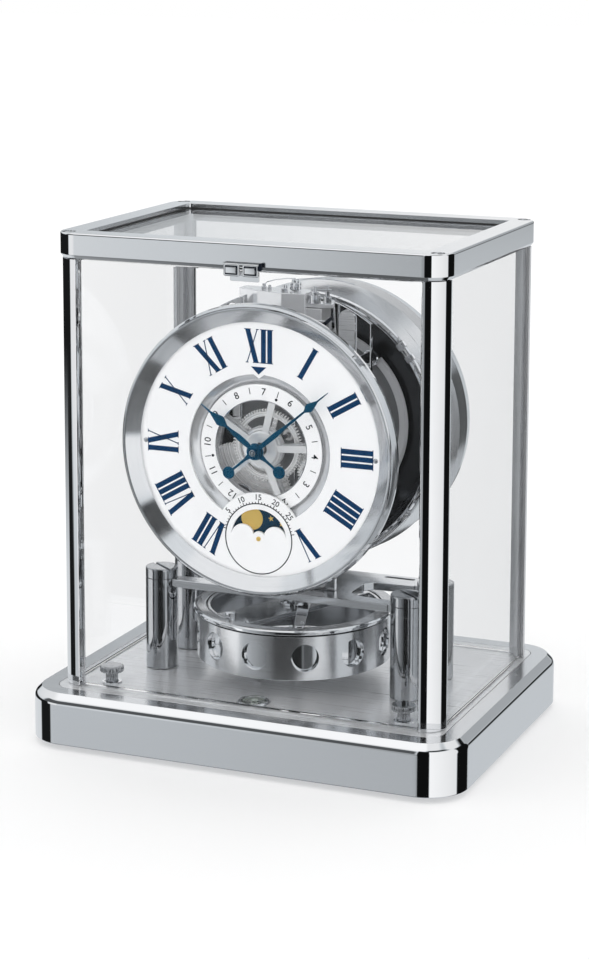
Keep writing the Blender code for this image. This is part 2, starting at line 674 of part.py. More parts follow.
# Anchor: a bar with two pallets over the escape wheel's edge, and a fork that
# hangs through the back plate's lower window towards the balance staff.
anchor = turned("pallet_anchor", [(0, 17.5), (0.9, 17.5), (0.9, 11.0), (0, 11.0)], STEEL,
                (ANCHOR[0], 0, ANCHOR[1]), axis='Y', seg=12)


def bar_y(bm, p0, p1, width, y0, y1, extra=0.0):
    """A straight bar of the anchor from (x, z) p0 to p1, between y0 and y1."""
    d = Vector((p1[0] - p0[0], 0, p1[1] - p0[1]))
    m = Matrix.Translation([(p0[0] + p1[0]) / 2 * MM, (y0 + y1) / 2 * MM, (p0[1] + p1[1]) / 2 * MM]) \
        @ Matrix.Rotation(atan2(d.x, d.z), 4, 'Y') \
        @ Matrix.Diagonal([width * MM, (y1 - y0) * MM, (d.length + extra) * MM, 1.0])
    bmesh.ops.create_cube(bm, size=1.0, matrix=m)


# The two pallets stand just outside the escape wheel's rim, 52 degrees to
# either side of the line between the two centres.
TO_ANCHOR = atan2(ANCHOR[1] - ESCAPE[1], ANCHOR[0] - ESCAPE[0])
PALLETS = [(ESCAPE[0] + 10.7 * cos(TO_ANCHOR + s * radians(52)),
            ESCAPE[1] + 10.7 * sin(TO_ANCHOR + s * radians(52))) for s in (-1, 1)]


def anchor_body(bm):
    bar_y(bm, ANCHOR, PALLETS[0], 1.8, -17.2, -15.6, 1.6)


def anchor_body2(bm):
    bar_y(bm, ANCHOR, PALLETS[1], 1.8, -17.15, -15.65, 1.6)


def anchor_pallets(bm):
    for x, z in PALLETS:
        bm_rod(bm, (x, -18.8, z), (x, -16.0, z), 0.75, 8)


def anchor_stem(bm):
    bar_y(bm, ANCHOR, (0.0, 71.0), 2.0, -17.1, -15.7)


def anchor_fork(bm):
    bm_box(bm, -2.9, 2.9, -17.2, -11.6, 68.0, 72.0)


def fork_notch(bm):
    bm_box(bm, -1.9, 1.9, -14.6, -10.0, 66.0, 74.0)


join(anchor, anchor_body)
join(anchor, anchor_body2)
join(anchor, anchor_pallets)
join(anchor, anchor_stem)
join(anchor, anchor_fork)
cut(anchor, fork_notch)

# ================================================================== dial side
turned("dial_bezel",
       [(55.0, 46.3), (56.6, 48.6), (58.6, 50.6), (60.4, 51.4), (61.3, 51.3), (61.8, 50.2), (62.6, 49.6), (63.3, 48.8),
        (63.3, 42.0), (57.6, 42.0), (57.6, 46.3)],
       CHROME, (0, 0, DIAL_Z), axis='Y', seg=56)


def dial_outlines():
    # the opening is a circle with the moon scale's lobe left standing in it
    d = DIAL_Z - SUB_Z
    zc = (d * d + DIAL_OPEN_R ** 2 - SUB_R ** 2) / (2 * d)      # below the hands' axis
    xc = (DIAL_OPEN_R ** 2 - zc * zc) ** 0.5
    a1 = atan2(-zc, xc)
    o = arc(0, DIAL_Z, DIAL_OPEN_R, a1, pi - a1, 44)
    b1 = atan2(d - zc, -xc)
    lobe = arc(0, SUB_Z, SUB_R, b1, pi - b1, 14)[1:-1]
    opening = o + lobe
    # moon aperture: a half disc above the pin with a hump on each side
    ap = arc(0, SUB_Z, MOON_R - 0.5, radians(6), radians(174), 20)
    hump = []
    for cx in (-8.3, 8.3):
        hump += arc(cx, SUB_Z + 1.4, 4.1, radians(180), radians(0), 6)
    ap = ap + hump[:7] + [(-3.4, SUB_Z + 2.2), (0.0, SUB_Z + 4.0), (3.4, SUB_Z + 2.2)] + hump[7:]
    return [ring_pts(0, DIAL_Z, DIAL_R, 56), opening[::-1], ap[::-1]]


flat("dial_plate", dial_outlines(), 1.2, WHITE, (0, DIAL_Y + 0.6, 0), axis='Y')

spokes = []
for k in range(5):
    a0 = radians(4 + 72 * k + 8)
    a1 = radians(4 + 72 * (k + 1) - 8)
    dh = radians(18)
    spokes.append((arc(0, 0, 21.0, a0, a1, 8) + arc(0, 0, 7.6, a1 - dh / 2, a0 + dh / 2, 5))[::-1])
month = flat("month_ring", [ring_pts(0, 0, 28.0, 56)] + spokes + [ring_pts(0, 0, 2.7, 16)[::-1]],
             0.7, WHITE, (0, -43.25, DIAL_Z), axis='Y')
turned("moon_disc", [(0, 44.45), (MOON_R, 44.45), (MOON_R, 43.95), (1.0, 43.95), (1.0, 40.0), (0, 40.0)],
       NAVY, (0, 0, SUB_Z), axis='Y', seg=36)

# Hands: outlines in the plane of the dial, laid along +X and then turned.
HOUR_A = atan2(152.6 - DIAL_Z, -24.7)
MIN_A = atan2(162.4 - DIAL_Z, 33.4)


def hand_outline(length, loz, loz_w, tail, tail_r, hub_r, stem):
    """Stem from the hub that swells to a lozenge, with a disc on the tail."""
    up = [(hub_r * 0.9, stem * 0.9), (length * 0.32, stem * 1.15), (loz - loz_w * 1.9, stem * 0.45),
          (loz, loz_w), (loz + loz_w * 2.2, stem * 0.42)]
    pts = up + [(length, 0.12), (length, -0.12)] + [(x, -y) for x, y in reversed(up)]
    hub = arc(0, 0, hub_r, -radians(25), -radians(155), 8)
    b = 0.7 / tail_r
    disc = arc(-tail, 0, tail_r, -b, -2 * pi + b, 16)
    hub2 = arc(0, 0, hub_r, radians(155), radians(25), 8)
    return pts + hub + disc + hub2


def turned_outline(pts, a):
    return [(x * cos(a) - y * sin(a), x * sin(a) + y * cos(a)) for x, y in pts]


hour = flat("hour_hand", [turned_outline(hand_outline(30.8, 20.6, 2.3, 13.3, 2.3, 3.6, 1.15), HOUR_A)],
            0.7, BLUE, (0, -49.6, DIAL_Z), axis='Y')


def hour_pipe(bm):
    bm_rod(bm, (0, -49.8, DIAL_Z), (0, -38.3, DIAL_Z), 2.2, 20)


def hour_wheel(bm):
    bm_rod(bm, (0, -38.9, DIAL_Z), (0, -37.9, DIAL_Z), 8.5, 28)


def hour_bore(bm):
    bm_rod(bm, (0, -55, DIAL_Z), (0, -35, DIAL_Z), 1.5, 16)


join(hour, hour_pipe)
join(hour, hour_wheel)
cut(hour, hour_bore)

minute = flat("minute_hand", [turned_outline(hand_outline(43.7, 33.4, 1.9, 14.9, 2.3, 3.2, 1.0), MIN_A)],
              0.7, BLUE, (0, -51.2, DIAL_Z), axis='Y')


def hand_cap(bm):
    bm_rod(bm, (0, -50.9, DIAL_Z), (0, -53.0, DIAL_Z), 2.0, 16)


def hand_bore(bm):
    bm_rod(bm, (0, -49.0, DIAL_Z), (0, -52.5, DIAL_Z), 1.3, 12)


join(minute, hand_cap)
cut(minute, hand_bore)

# ================================================================== bellows housing
housing = turned("bellows_housing",
                 [(0, -24.0), (48.0, -22.0), (56.0, -20.0), (59.4, -6.4),
                  (DRUM_R, -6.4), (DRUM_R, -DRUM_Y1), (60.2, -DRUM_Y1), (60.2, -26.0), (0, -26.0)],
                 CHROME, (0, 0, DIAL_Z), axis='Y', seg=48)


def drum_posts(bm):
    for x, z in ((-26.0, 165.0), (26.0, 165.0), (-31.0, 104.0), (31.0, 104.0)):
        bm_rod(bm, (x, BP_Y1 + GAP, z), (x, 24.6, z), 3.0, 14)


join(housing, drum_posts)
turned("housing_back_cover",
       [(0, -46.3), (DRUM_R, -46.3), (DRUM_R, -48.4), (44.0, -49.6), (16.0, -52.4), (0, -52.4)],
       CHROME, (0, 0, DIAL_Z), axis='Y', seg=40)
# The bellows capsule fills the housing; its free end pushes the follower plate.
cap = [(0, -30.6), (20.0, -30.6)]
for k in range(4):
    y = 31.4 + 3.4 * k
    cap += [(53.0, -y), (46.0, -(y + 1.7))]
cap += [(46.0, -45.4), (20.0, -45.8), (0, -45.8)]
turned("bellows_capsule", cap, BRASS, (0, 0, DIAL_Z), axis='Y', seg=24)
turned("bellows_follower", [(0, -28.6), (44.0, -28.6), (44.0, -29.8), (0, -29.8)], SATIN,
       (0, 0, DIAL_Z), axis='Y', seg=24)
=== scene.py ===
"""Atmospheric clock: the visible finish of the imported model, built round its frame."""
import bpy
import bmesh
from math import acos, asin, atan2, ceil, cos, pi, radians, sin, sqrt, tan
from mathutils import Matrix, Vector
from mathutils.geometry import tessellate_polygon


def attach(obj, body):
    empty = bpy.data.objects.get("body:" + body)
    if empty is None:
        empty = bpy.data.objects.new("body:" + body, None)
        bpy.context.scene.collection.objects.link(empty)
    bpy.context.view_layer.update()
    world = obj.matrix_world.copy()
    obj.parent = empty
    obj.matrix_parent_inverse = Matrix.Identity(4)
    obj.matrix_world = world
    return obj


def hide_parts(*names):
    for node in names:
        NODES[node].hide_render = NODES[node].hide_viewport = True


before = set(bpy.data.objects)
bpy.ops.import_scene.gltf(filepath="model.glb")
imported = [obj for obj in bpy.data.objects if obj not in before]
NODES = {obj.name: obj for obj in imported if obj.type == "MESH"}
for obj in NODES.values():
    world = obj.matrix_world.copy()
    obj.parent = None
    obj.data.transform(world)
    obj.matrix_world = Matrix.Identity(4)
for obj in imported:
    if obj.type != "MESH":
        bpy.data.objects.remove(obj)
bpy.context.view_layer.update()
SC = bpy.context.scene
MM = 0.001

# ------------------------------------------------------------------ sizes, in mm
DIAL_Z = 134.3
DIAL_F = 46.0            # the dial's face, measured towards the viewer
SUB_Z = 95.5             # centre of the moon display
BAL = (0.0, -5.6)        # axis of the balance
WEB_A = radians(65.0)
PILLARS = {"front_left": (-58.3, -20.0, 71.0), "front_right": (58.3, -20.0, 71.0),
           "rear_left": (-59.0, 12.0, 68.2), "rear_right": (59.0, 12.0, 68.2)}


# ================================================================== shape helpers
def arc(cx, cy, r, a0, a1, n):
    return [(cx + r * cos(a0 + (a1 - a0) * i / n), cy + r * sin(a0 + (a1 - a0) * i / n)) for i in range(n + 1)]


def circle(cx, cy, r, n=96):
    return arc(cx, cy, r, 0, 2 * pi, n)[:-1]


def area(pts):
    return sum(a[0] * b[1] - b[0] * a[1] for a, b in zip(pts, pts[1:] + pts[:1])) / 2


def fil(pts, closed=False, step=18.0):
    """The polyline with its corners rounded: a point may carry a third number, its radius."""
    out, n = [], len(pts)
    for i, p in enumerate(pts):
        r = p[2] if len(p) > 2 else 0
        if r <= 0 or (not closed and i in (0, n - 1)):
            out.append((p[0], p[1]))
            continue
        a, b, c = Vector(pts[i - 1][:2]), Vector(p[:2]), Vector(pts[(i + 1) % n][:2])
        u, w = (a - b).normalized(), (c - b).normalized()
        ang = acos(max(-1.0, min(1.0, u.dot(w))))
        if ang > pi - 0.02 or ang < 0.02:
            out.append((b.x, b.y))
            continue
        d = min(r / tan(ang / 2), (a - b).length * 0.49, (c - b).length * 0.49)
        rr = d * tan(ang / 2)
        m = b + (u + w).normalized() * (rr / sin(ang / 2))
        p0, p1 = b + u * d, b + w * d
        a0, a1 = atan2(p0.y - m.y, p0.x - m.x), atan2(p1.y - m.y, p1.x - m.x)
        da = (a1 - a0 + pi) % (2 * pi) - pi
        k = max(1, ceil(abs(da) / radians(step)))
        out += [(m.x + rr * cos(a0 + da * j / k), m.y + rr * sin(a0 + da * j / k)) for j in range(k + 1)]
    return out


def rrect(w, d, r, n=10, cx=0.0, cy=0.0):
    out = []
    for sx, sy, a0 in ((1, 1, 0), (-1, 1, 90), (-1, -1, 180), (1, -1, 270)):
        out += arc(cx + sx * (w / 2 - r), cy + sy * (d / 2 - r), r, radians(a0), radians(a0 + 90), n)
    return out


def rot(pts, a, cx=0.0, cy=0.0):
    return [(cx + x * cos(a) - y * sin(a), cy + x * sin(a) + y * cos(a)) for x, y in pts]


def shift(loop, d):
    """The loop moved to its left by d, corner by corner."""
    out, n = [], len(loop)
    for i in range(n):
        p, q, r = Vector(loop[i - 1]), Vector(loop[i]), Vector(loop[(i + 1) % n])
        e0, e1 = q - p, r - q
        if e0.length < 1e-7 or e1.length < 1e-7:
            e0 = e1 = r - p
        e0.normalize()
        e1.normalize()
        n0, n1 = Vector((-e0.y, e0.x)), Vector((-e1.y, e1.x))
        k = max(0.35, 1 + n0.dot(n1))
        v = q + (n0 + n1) * (d / k)
        out.append((v.x, v.y))
    return out


def up(cx=0.0, cy=0.0, z=0.0):
    """Local x, y, h to a piece that stands on z."""
    return Matrix.Translation((cx, cy, z))


def face(cx=0.0, cz=DIAL_Z):
    """Local x, y, h to a piece on the dial's side: h points at the viewer."""
    return Matrix(((1, 0, 0, cx), (0, 0, -1, 0), (0, 1, 0, cz), (0, 0, 0, 1)))


class Build:
    """Vertices in mm, faces and their material numbers."""

    def __init__(self):
        self.v, self.f, self.m = [], [], []

    def add(self, verts, faces, M=None, mat=0):
        o = len(self.v)
        M = M or Matrix.Identity(4)
        self.v += [M @ Vector(p) for p in verts]
        self.f += [tuple(i + o for i in f) for f in faces]
        self.m += [mat] * len(faces)

    def lathe(self, prof, M=None, seg=96, mat=0, closed=False, a0=0.0, a1=2 * pi):
        full = abs(a1 - a0) > 2 * pi - 1e-6
        cols = seg if full else seg + 1
        verts, idx = [], []
        for r, h in prof:
            if r < 1e-6:
                idx.append([len(verts)] * cols)
                verts.append((0, 0, h))
            else:
                idx.append(list(range(len(verts), len(verts) + cols)))
                verts += [(r * cos(a0 + (a1 - a0) * k / seg), r * sin(a0 + (a1 - a0) * k / seg), h) for k in range(cols)]
        faces = []
        rows = list(zip(idx, idx[1:] + idx[:1])) if closed else list(zip(idx, idx[1:]))
        for p, q in rows:
            for k in range(seg):
                j = (k + 1) % cols
                f = []
                for i in (p[k], p[j], q[j], q[k]):
                    if i not in f:
                        f.append(i)
                if len(f) > 2:
                    faces.append(tuple(f))
        if not full:
            faces.append(tuple(r[0] for r in idx))
            faces.append(tuple(r[-1] for r in reversed(idx)))
        self.add(verts, faces, M, mat)

    def plate(self, loops, h0, h1, M=None, bevel=0.15, rows=2, mat=0, top=None, side=None, low=True):
        """A flat piece with rounded edges: loops[0] is its outline and the rest are its holes."""
        fixed = []
        for i, lp in enumerate(loops):
            lp = [p for p, q in zip(lp, lp[1:] + lp[:1]) if abs(p[0] - q[0]) + abs(p[1] - q[1]) > 1e-5]
            if (area(lp) > 0) != (i == 0):
                lp = lp[::-1]
            fixed.append(lp)
        b = min(bevel, (h1 - h0) * 0.45)
        lev = []
        if b > 0:
            if low:
                lev += [(b * (1 - sin(pi / 2 * k / rows)), h0 + b * (1 - cos(pi / 2 * k / rows))) for k in range(rows + 1)]
            else:
                lev += [(0, h0)]
            lev += [(b * (1 - cos(pi / 2 * k / rows)), h1 - b * (1 - sin(pi / 2 * k / rows))) for k in range(rows + 1)]
        else:
            lev = [(0, h0), (0, h1)]
        verts, faces, sf = [], [], []
        first, last = [], []
        for lp in fixed:
            rings = []
            for i, h in lev:
                ring = shift(lp, i) if i > 1e-9 else lp
                rings.append(list(range(len(verts), len(verts) + len(lp))))
                verts += [(x, y, h) for x, y in ring]
            n = len(lp)
            for p, q in zip(rings, rings[1:]):
                for k in range(n):
                    sf.append((p[k], p[(k + 1) % n], q[(k + 1) % n], q[k]))
            first.append(rings[0])
            last.append(rings[-1])
        for ends, flip in ((first, True), (last, False)):
            flat = [i for r in ends for i in r]
            tris = tessellate_polygon([[Vector((verts[i][0], verts[i][1], 0)) for i in r] for r in ends])
            for t in tris:
                t = tuple(flat[i] for i in t)
                ax, ay, _ = verts[t[0]]
                bx, by, _ = verts[t[1]]
                cx, cy, _ = verts[t[2]]
                if ((bx - ax) * (cy - ay) - (cx - ax) * (by - ay) > 0) == flip:
                    t = t[::-1]
                faces.append(t)
        self.add(verts, faces + sf, M, mat)
        if side is not None:
            for k in range(len(sf)):
                self.m[-1 - k] = side

    def rim(self, w, d, r, prof, M=None, n=14, mat=0, caps=True, closed=False):
        """A profile of (inset, z) carried round a rounded rectangle."""
        verts, rings = [], []
        for i, z in prof:
            rings.append(list(range(len(verts), len(verts) + 4 * (n + 1))))
            verts += [(x, y, z) for x, y in rrect(w - 2 * i, d - 2 * i, max(r - i, 0.25), n)]
        k = 4 * (n + 1)
        faces = []
        for p, q in (list(zip(rings, rings[1:] + rings[:1])) if closed else list(zip(rings, rings[1:]))):
            faces += [(p[j], p[(j + 1) % k], q[(j + 1) % k], q[j]) for j in range(k)]
        if caps and not closed:
            faces += [tuple(reversed(rings[0])), tuple(rings[-1])]
        self.add(verts, faces, M, mat)

    def tube(self, pts, r, seg=12, mat=0, M=None):
        pts = [Vector(p) for p in pts]
        verts, rings = [], []
        t0 = (pts[1] - pts[0]).normalized()
        side = t0.orthogonal().normalized()
        for i, p in enumerate(pts):
            t = (pts[min(i + 1, len(pts) - 1)] - pts[max(i - 1, 0)]).normalized()
            side = (side - t * side.dot(t)).normalized()
            other = t.cross(side)
            rr = r[i] if isinstance(r, (list, tuple)) else r
            rings.append(list(range(len(verts), len(verts) + seg)))
            verts += [p + (side * cos(2 * pi * k / seg) + other * sin(2 * pi * k / seg)) * rr for k in range(seg)]
        faces = [tuple(reversed(rings[0])), tuple(rings[-1])]
        for a, b in zip(rings, rings[1:]):
            faces += [(a[k], a[(k + 1) % seg], b[(k + 1) % seg], b[k]) for k in range(seg)]
        self.add(verts, faces, M, mat)

    def slotted(self, M, r, h0, h1, width, depth, ang=0.0, bevel=0.25, mat=0, seg=40):
        """A round screw head with a real slot across it."""
        self.lathe([(0, h0), (r, h0), (r, h1 - depth), (0, h1 - depth)], M, seg, mat)
        a = asin(width / 2 / r)
        for s in (0, pi):
            self.plate([rot(arc(0, 0, r, a, pi - a, seg // 2), ang + s)], h1 - depth - 0.01, h1, M, bevel, 3, mat, low=False)

    def gear(self, M, r_tip, r_root, n, h0, h1, holes=(), bore=0.8, mat=0, phase=0.0, bevel=0.05, pointed=False):
        pts = []
        for i in range(n):
            a = phase + 2 * pi * i / n
            s = 2 * pi / n
            if pointed:
                pts += [(r_root, a), (r_root, a + 0.45 * s), (r_tip, a + 0.9 * s)]
            else:
                pts += [(r_root, a), (r_root, a + 0.36 * s), (r_tip - 0.1 * (r_tip - r_root), a + 0.50 * s), (r_tip, a + 0.58 * s),
                        (r_tip, a + 0.78 * s), (r_tip - 0.1 * (r_tip - r_root), a + 0.86 * s)]
        loop = [(r * cos(a), r * sin(a)) for r, a in pts]
        self.plate([loop] + list(holes) + [circle(0, 0, bore, 20)], h0, h1, M, bevel, 1, mat)

    def text(self, body, size, M, h0, h1, mat=0, font_scale=(1.0, 1.0), bold=0.02):
        cu = bpy.data.curves.new("t", type='FONT')
        cu.body, cu.size = body, size
        cu.align_x, cu.align_y = 'CENTER', 'CENTER'
        cu.resolution_u = 3
        cu.offset = bold
        ob = bpy.data.objects.new("t", cu)
        SC.collection.objects.link(ob)
        bpy.context.view_layer.update()
        me = bpy.data.meshes.new_from_object(ob.evaluated_get(bpy.context.evaluated_depsgraph_get()))
        bm = bmesh.new()
        bm.from_mesh(me)
        bmesh.ops.remove_doubles(bm, verts=bm.verts, dist=size * 1e-4)
        lo = [v.co.copy() for v in bm.verts]
        xs, ys = [p.x for p in lo], [p.y for p in lo]
        mx, my = (min(xs) + max(xs)) / 2, (min(ys) + max(ys)) / 2
        geom = bmesh.ops.extrude_face_region(bm, geom=bm.faces[:])
        moved = {v for v in geom["geom"] if isinstance(v, bmesh.types.BMVert)}
        bm.verts.index_update()
        verts = [((v.co.x - mx) * font_scale[0], (v.co.y - my) * font_scale[1], h1 if v in moved else h0) for v in bm.verts]
        faces = [tuple(v.index for v in f.verts) for f in bm.faces]
        self.add(verts, faces, M, mat)
        bm.free()
        bpy.data.objects.remove(ob)
        bpy.data.curves.remove(cu)
        bpy.data.meshes.remove(me)


def piece(name, b, mats, body, replaces=(), sharp=32.0, weighted=True):
    """One visible piece from a Build, riding on a body."""
    me = bpy.data.meshes.new(name)
    me.from_pydata([v * MM for v in b.v], [], b.f)
    for m in (mats if isinstance(mats, (list, tuple)) else [mats]):
        me.materials.append(m)
    me.polygons.foreach_set("material_index", b.m)
    bm = bmesh.new()
    bm.from_mesh(me)
    bmesh.ops.remove_doubles(bm, verts=bm.verts, dist=1e-7)
    bmesh.ops.dissolve_degenerate(bm, edges=bm.edges, dist=1e-7)
    bmesh.ops.recalc_face_normals(bm, faces=bm.faces)
    bm.to_mesh(me)
    bm.free()
    me.polygons.foreach_set("use_smooth", [True] * len(me.polygons))
    me.set_sharp_from_angle(angle=radians(sharp))
    ob = bpy.data.objects.new(name, me)
    SC.collection.objects.link(ob)
    if weighted:
        w = ob.modifiers.new("Weighted Normal", 'WEIGHTED_NORMAL')
        w.keep_sharp = True
        w.weight = 90
    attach(ob, body)
    if replaces:
        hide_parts(*([replaces] if isinstance(replaces, str) else replaces))
    return ob


def carved(ob, cutter, mats=None):
    """ob with the cutter's volume taken out, as a plain mesh."""
    cut = bpy.data.objects.new("cutter", cutter)
    SC.collection.objects.link(cut)
    for m in list(ob.modifiers):
        ob.modifiers.remove(m)
    mod = ob.modifiers.new("cut", 'BOOLEAN')
    mod.operation, mod.solver, mod.object = 'DIFFERENCE', 'EXACT', cut
    mod.material_mode = 'TRANSFER'
    bpy.context.view_layer.update()
    me = bpy.data.meshes.new_from_object(ob.evaluated_get(bpy.context.evaluated_depsgraph_get()))
    ob.modifiers.remove(mod)
    ob.data = me
    bpy.data.objects.remove(cut)
    return ob


def finish_mesh(ob, sharp=32.0):
    me = ob.data
    me.polygons.foreach_set("use_smooth", [True] * len(me.polygons))
    me.set_sharp_from_angle(angle=radians(sharp))
    w = ob.modifiers.new("Weighted Normal", 'WEIGHTED_NORMAL')
    w.keep_sharp = True
    w.weight = 90


# ================================================================== node helpers
def nn(t, kind, ins=None, **kw):
    n = t.nodes.new(kind)
    for k, v in kw.items():
        setattr(n, k, v)
    for k, v in (ins or {}).items():
        s = n.inputs[k]
        if isinstance(v, bpy.types.NodeSocket):
            t.links.new(v, s)
        else:
            s.default_value = v
    return n


def mth(t, op, *a, clamp=False):
    return nn(t, 'ShaderNodeMath', {i: x for i, x in enumerate(a)}, operation=op, use_clamp=clamp).outputs[0]


def span(t, v, a, b, c=0.0, d=1.0, smooth=False):
    return nn(t, 'ShaderNodeMapRange', {0: v, 1: a, 2: b, 3: c, 4: d},
              interpolation_type='SMOOTHSTEP' if smooth else 'LINEAR').outputs[0]


def mixc(t, fac, a, b):
    n = t.nodes.new('ShaderNodeMix')
    n.data_type = 'RGBA'
    for k, v in ((0, fac), (6, a), (7, b)):
        if isinstance(v, bpy.types.NodeSocket):
            t.links.new(v, n.inputs[k])
        elif k == 0:
            n.inputs[0].default_value = v
        else:
            n.inputs[k].default_value = (*v, 1.0) if len(v) == 3 else v
    return n.outputs[2]


def grain_vec(t, grain):
    """Coordinates in which a noise becomes brushing, turning marks or plain mottling."""
    obj = nn(t, 'ShaderNodeTexCoord').outputs['Object']
    if grain is None:
        return nn(t, 'ShaderNodeMapping', {0: obj, 3: (60, 60, 60)}).outputs[0]
    kind = grain[0]
    if kind in 'xyz':
        sc = [grain[1]] * 3
        sc['xyz'.index(kind)] = grain[2]
        return nn(t, 'ShaderNodeMapping', {0: obj, 3: tuple(sc)}).outputs[0]
    axis, (c1, c2), fine, coarse = grain[1], grain[2], grain[3], grain[4]
    s = nn(t, 'ShaderNodeSeparateXYZ', {0: obj})
    if axis == 'Y':
        u, v, h = s.outputs[0], s.outputs[2], s.outputs[1]
    else:
        u, v, h = s.outputs[0], s.outputs[1], s.outputs[2]
    u, v = mth(t, 'SUBTRACT', u, c1 * MM), mth(t, 'SUBTRACT', v, c2 * MM)
    r = mth(t, 'SQRT', mth(t, 'ADD', mth(t, 'MULTIPLY', u, u), mth(t, 'MULTIPLY', v, v)))
    if kind == 'rings':
        return nn(t, 'ShaderNodeCombineXYZ', {0: mth(t, 'MULTIPLY', r, fine), 1: mth(t, 'MULTIPLY', h, fine),
                                              2: mth(t, 'MULTIPLY', u, coarse)}).outputs[0]
    th = mth(t, 'ARCTAN2', v, u)      # rays
    return nn(t, 'ShaderNodeCombineXYZ', {0: mth(t, 'MULTIPLY', th, fine), 1: mth(t, 'MULTIPLY', r, coarse), 2: h}).outputs[0]


def metal(name, rgb, rough, spread=0.03, grain=None, bump=0.0, tint=0.03, aniso=0.0, tangent=None, metallic=1.0,
          coat=0.0, smudge=0.02):
    m = bpy.data.materials.new(name)
    m.use_nodes = True
    t = m.node_tree
    t.nodes.clear()
    vec = grain_vec(t, grain)
    noise = nn(t, 'ShaderNodeTexNoise', {'Vector': vec, 'Scale': 1.0, 'Detail': 3.0, 'Roughness': 0.65}).outputs[0]
    obj = nn(t, 'ShaderNodeTexCoord').outputs['Object']
    soft = nn(t, 'ShaderNodeTexNoise', {'Vector': obj, 'Scale': 38.0, 'Detail': 2.0}).outputs[0]
    col = mixc(t, span(t, noise, 0.3, 0.7), tuple(c * (1 - tint) for c in rgb), tuple(min(1.0, c * (1 + tint)) for c in rgb))
    ro = mth(t, 'ADD', span(t, noise, 0.3, 0.7, max(0.0, rough - spread), rough + spread), span(t, soft, 0.35, 0.7, 0.0, smudge))
    ins = {'Base Color': col, 'Metallic': metallic, 'Roughness': ro, 'Anisotropic': aniso}
    if coat:
        ins['Coat Weight'] = coat
        ins['Coat Roughness'] = 0.04
    if bump:
        ins['Normal'] = nn(t, 'ShaderNodeBump', {'Strength': 1.0, 'Distance': bump, 'Height': noise}).outputs[0]
    if tangent is not None:
        ins['Tangent'] = nn(t, 'ShaderNodeCombineXYZ', {0: tangent[0], 1: tangent[1], 2: tangent[2]}).outputs[0]
    b = nn(t, 'ShaderNodeBsdfPrincipled', ins)
    nn(t, 'ShaderNodeOutputMaterial', {0: b.outputs[0]})
    m.diffuse_color = (*rgb, 1)
    return m


def paint(name, rgb, rough, bump=0.0, scale=900.0, tint=0.02, coat=0.0, spec=0.5, spread=0.04):
    m = bpy.data.materials.new(name)
    m.use_nodes = True
    t = m.node_tree
    t.nodes.clear()
    obj = nn(t, 'ShaderNodeTexCoord').outputs['Object']
    fine = nn(t, 'ShaderNodeTexNoise', {'Vector': obj, 'Scale': scale, 'Detail': 3.0}).outputs[0]
    soft = nn(t, 'ShaderNodeTexNoise', {'Vector': obj, 'Scale': 30.0, 'Detail': 2.0}).outputs[0]
    col = mixc(t, span(t, soft, 0.3, 0.7), tuple(c * (1 - tint) for c in rgb), tuple(min(1.0, c * (1 + tint)) for c in rgb))
    ins = {'Base Color': col, 'Metallic': 0.0, 'Roughness': span(t, fine, 0.3, 0.7, rough - spread, rough + spread),
           'Specular IOR Level': spec}
    if coat:
        ins['Coat Weight'] = coat
        ins['Coat Roughness'] = 0.05
    if bump:
        ins['Normal'] = nn(t, 'ShaderNodeBump', {'Strength': 1.0, 'Distance': bump, 'Height': fine}).outputs[0]
    b = nn(t, 'ShaderNodeBsdfPrincipled', ins)
    nn(t, 'ShaderNodeOutputMaterial', {0: b.outputs[0]})
    m.diffuse_color = (*rgb, 1)
    return m


def glass(name, rgb=(0.965, 0.968, 0.973), rough=0.0, ior=1.33):
    m = bpy.data.materials.new(name)
    m.use_nodes = True
    t = m.node_tree
    t.nodes.clear()
    obj = nn(t, 'ShaderNodeTexCoord').outputs['Object']
    soft = nn(t, 'ShaderNodeTexNoise', {'Vector': obj, 'Scale': 14.0, 'Detail': 2.0}).outputs[0]
    col = mixc(t, span(t, soft, 0.3, 0.7), rgb, tuple(min(1.0, c + 0.005) for c in rgb))
    g = nn(t, 'ShaderNodeBsdfPrincipled', {'Base Color': col, 'Roughness': rough, 'IOR': ior, 'Transmission Weight': 1.0})
    clear = nn(t, 'ShaderNodeBsdfTransparent', {0: (0.97, 0.975, 0.98, 1)})
    lp = nn(t, 'ShaderNodeLightPath')
    mix = nn(t, 'ShaderNodeMixShader', {0: lp.outputs['Is Shadow Ray'], 1: g.outputs[0], 2: clear.outputs[0]})
    nn(t, 'ShaderNodeOutputMaterial', {0: mix.outputs[0]})
    m.diffuse_color = (*rgb, 0.2)
    return m


# ================================================================== materials
CH = (0.80, 0.81, 0.825)
CHROME = metal("polished", CH, 0.03, 0.008, tint=0.01, smudge=0.015)
CHROME_SOFT = metal("polished_soft", CH, 0.10, 0.03, tint=0.02, smudge=0.03)
SIDE = metal("plinth_side", (0.78, 0.79, 0.81), 0.13, 0.01, ('x', 1500.0, 40.0), tint=0.008, smudge=0.015)
TOPPLATE = metal("brushed_plate", (0.86, 0.87, 0.885), 0.30, 0.04, ('x', 2400.0, 30.0), bump=0.0000006, tint=0.03,
                 aniso=0.5, tangent=(0, 1, 0), smudge=0.0, metallic=0.6)
RIMTOP = metal("plinth_top", (0.80, 0.81, 0.825), 0.20, 0.04, ('x', 1500.0, 25.0), bump=0.000002, tint=0.03,
               aniso=0.6, tangent=(0, 1, 0))
FRAME = metal("frame_satin", (0.80, 0.81, 0.825), 0.16, 0.008, ('x', 1500.0, 30.0), tint=0.006, smudge=0.01)
RINGSIDE = metal("balance_side", (0.76, 0.77, 0.785), 0.21, 0.02, ('z', 24.0, 3000.0), bump=0.0000003, tint=0.05,
                 aniso=0.75, tangent=(0, 0, 1), metallic=0.97)
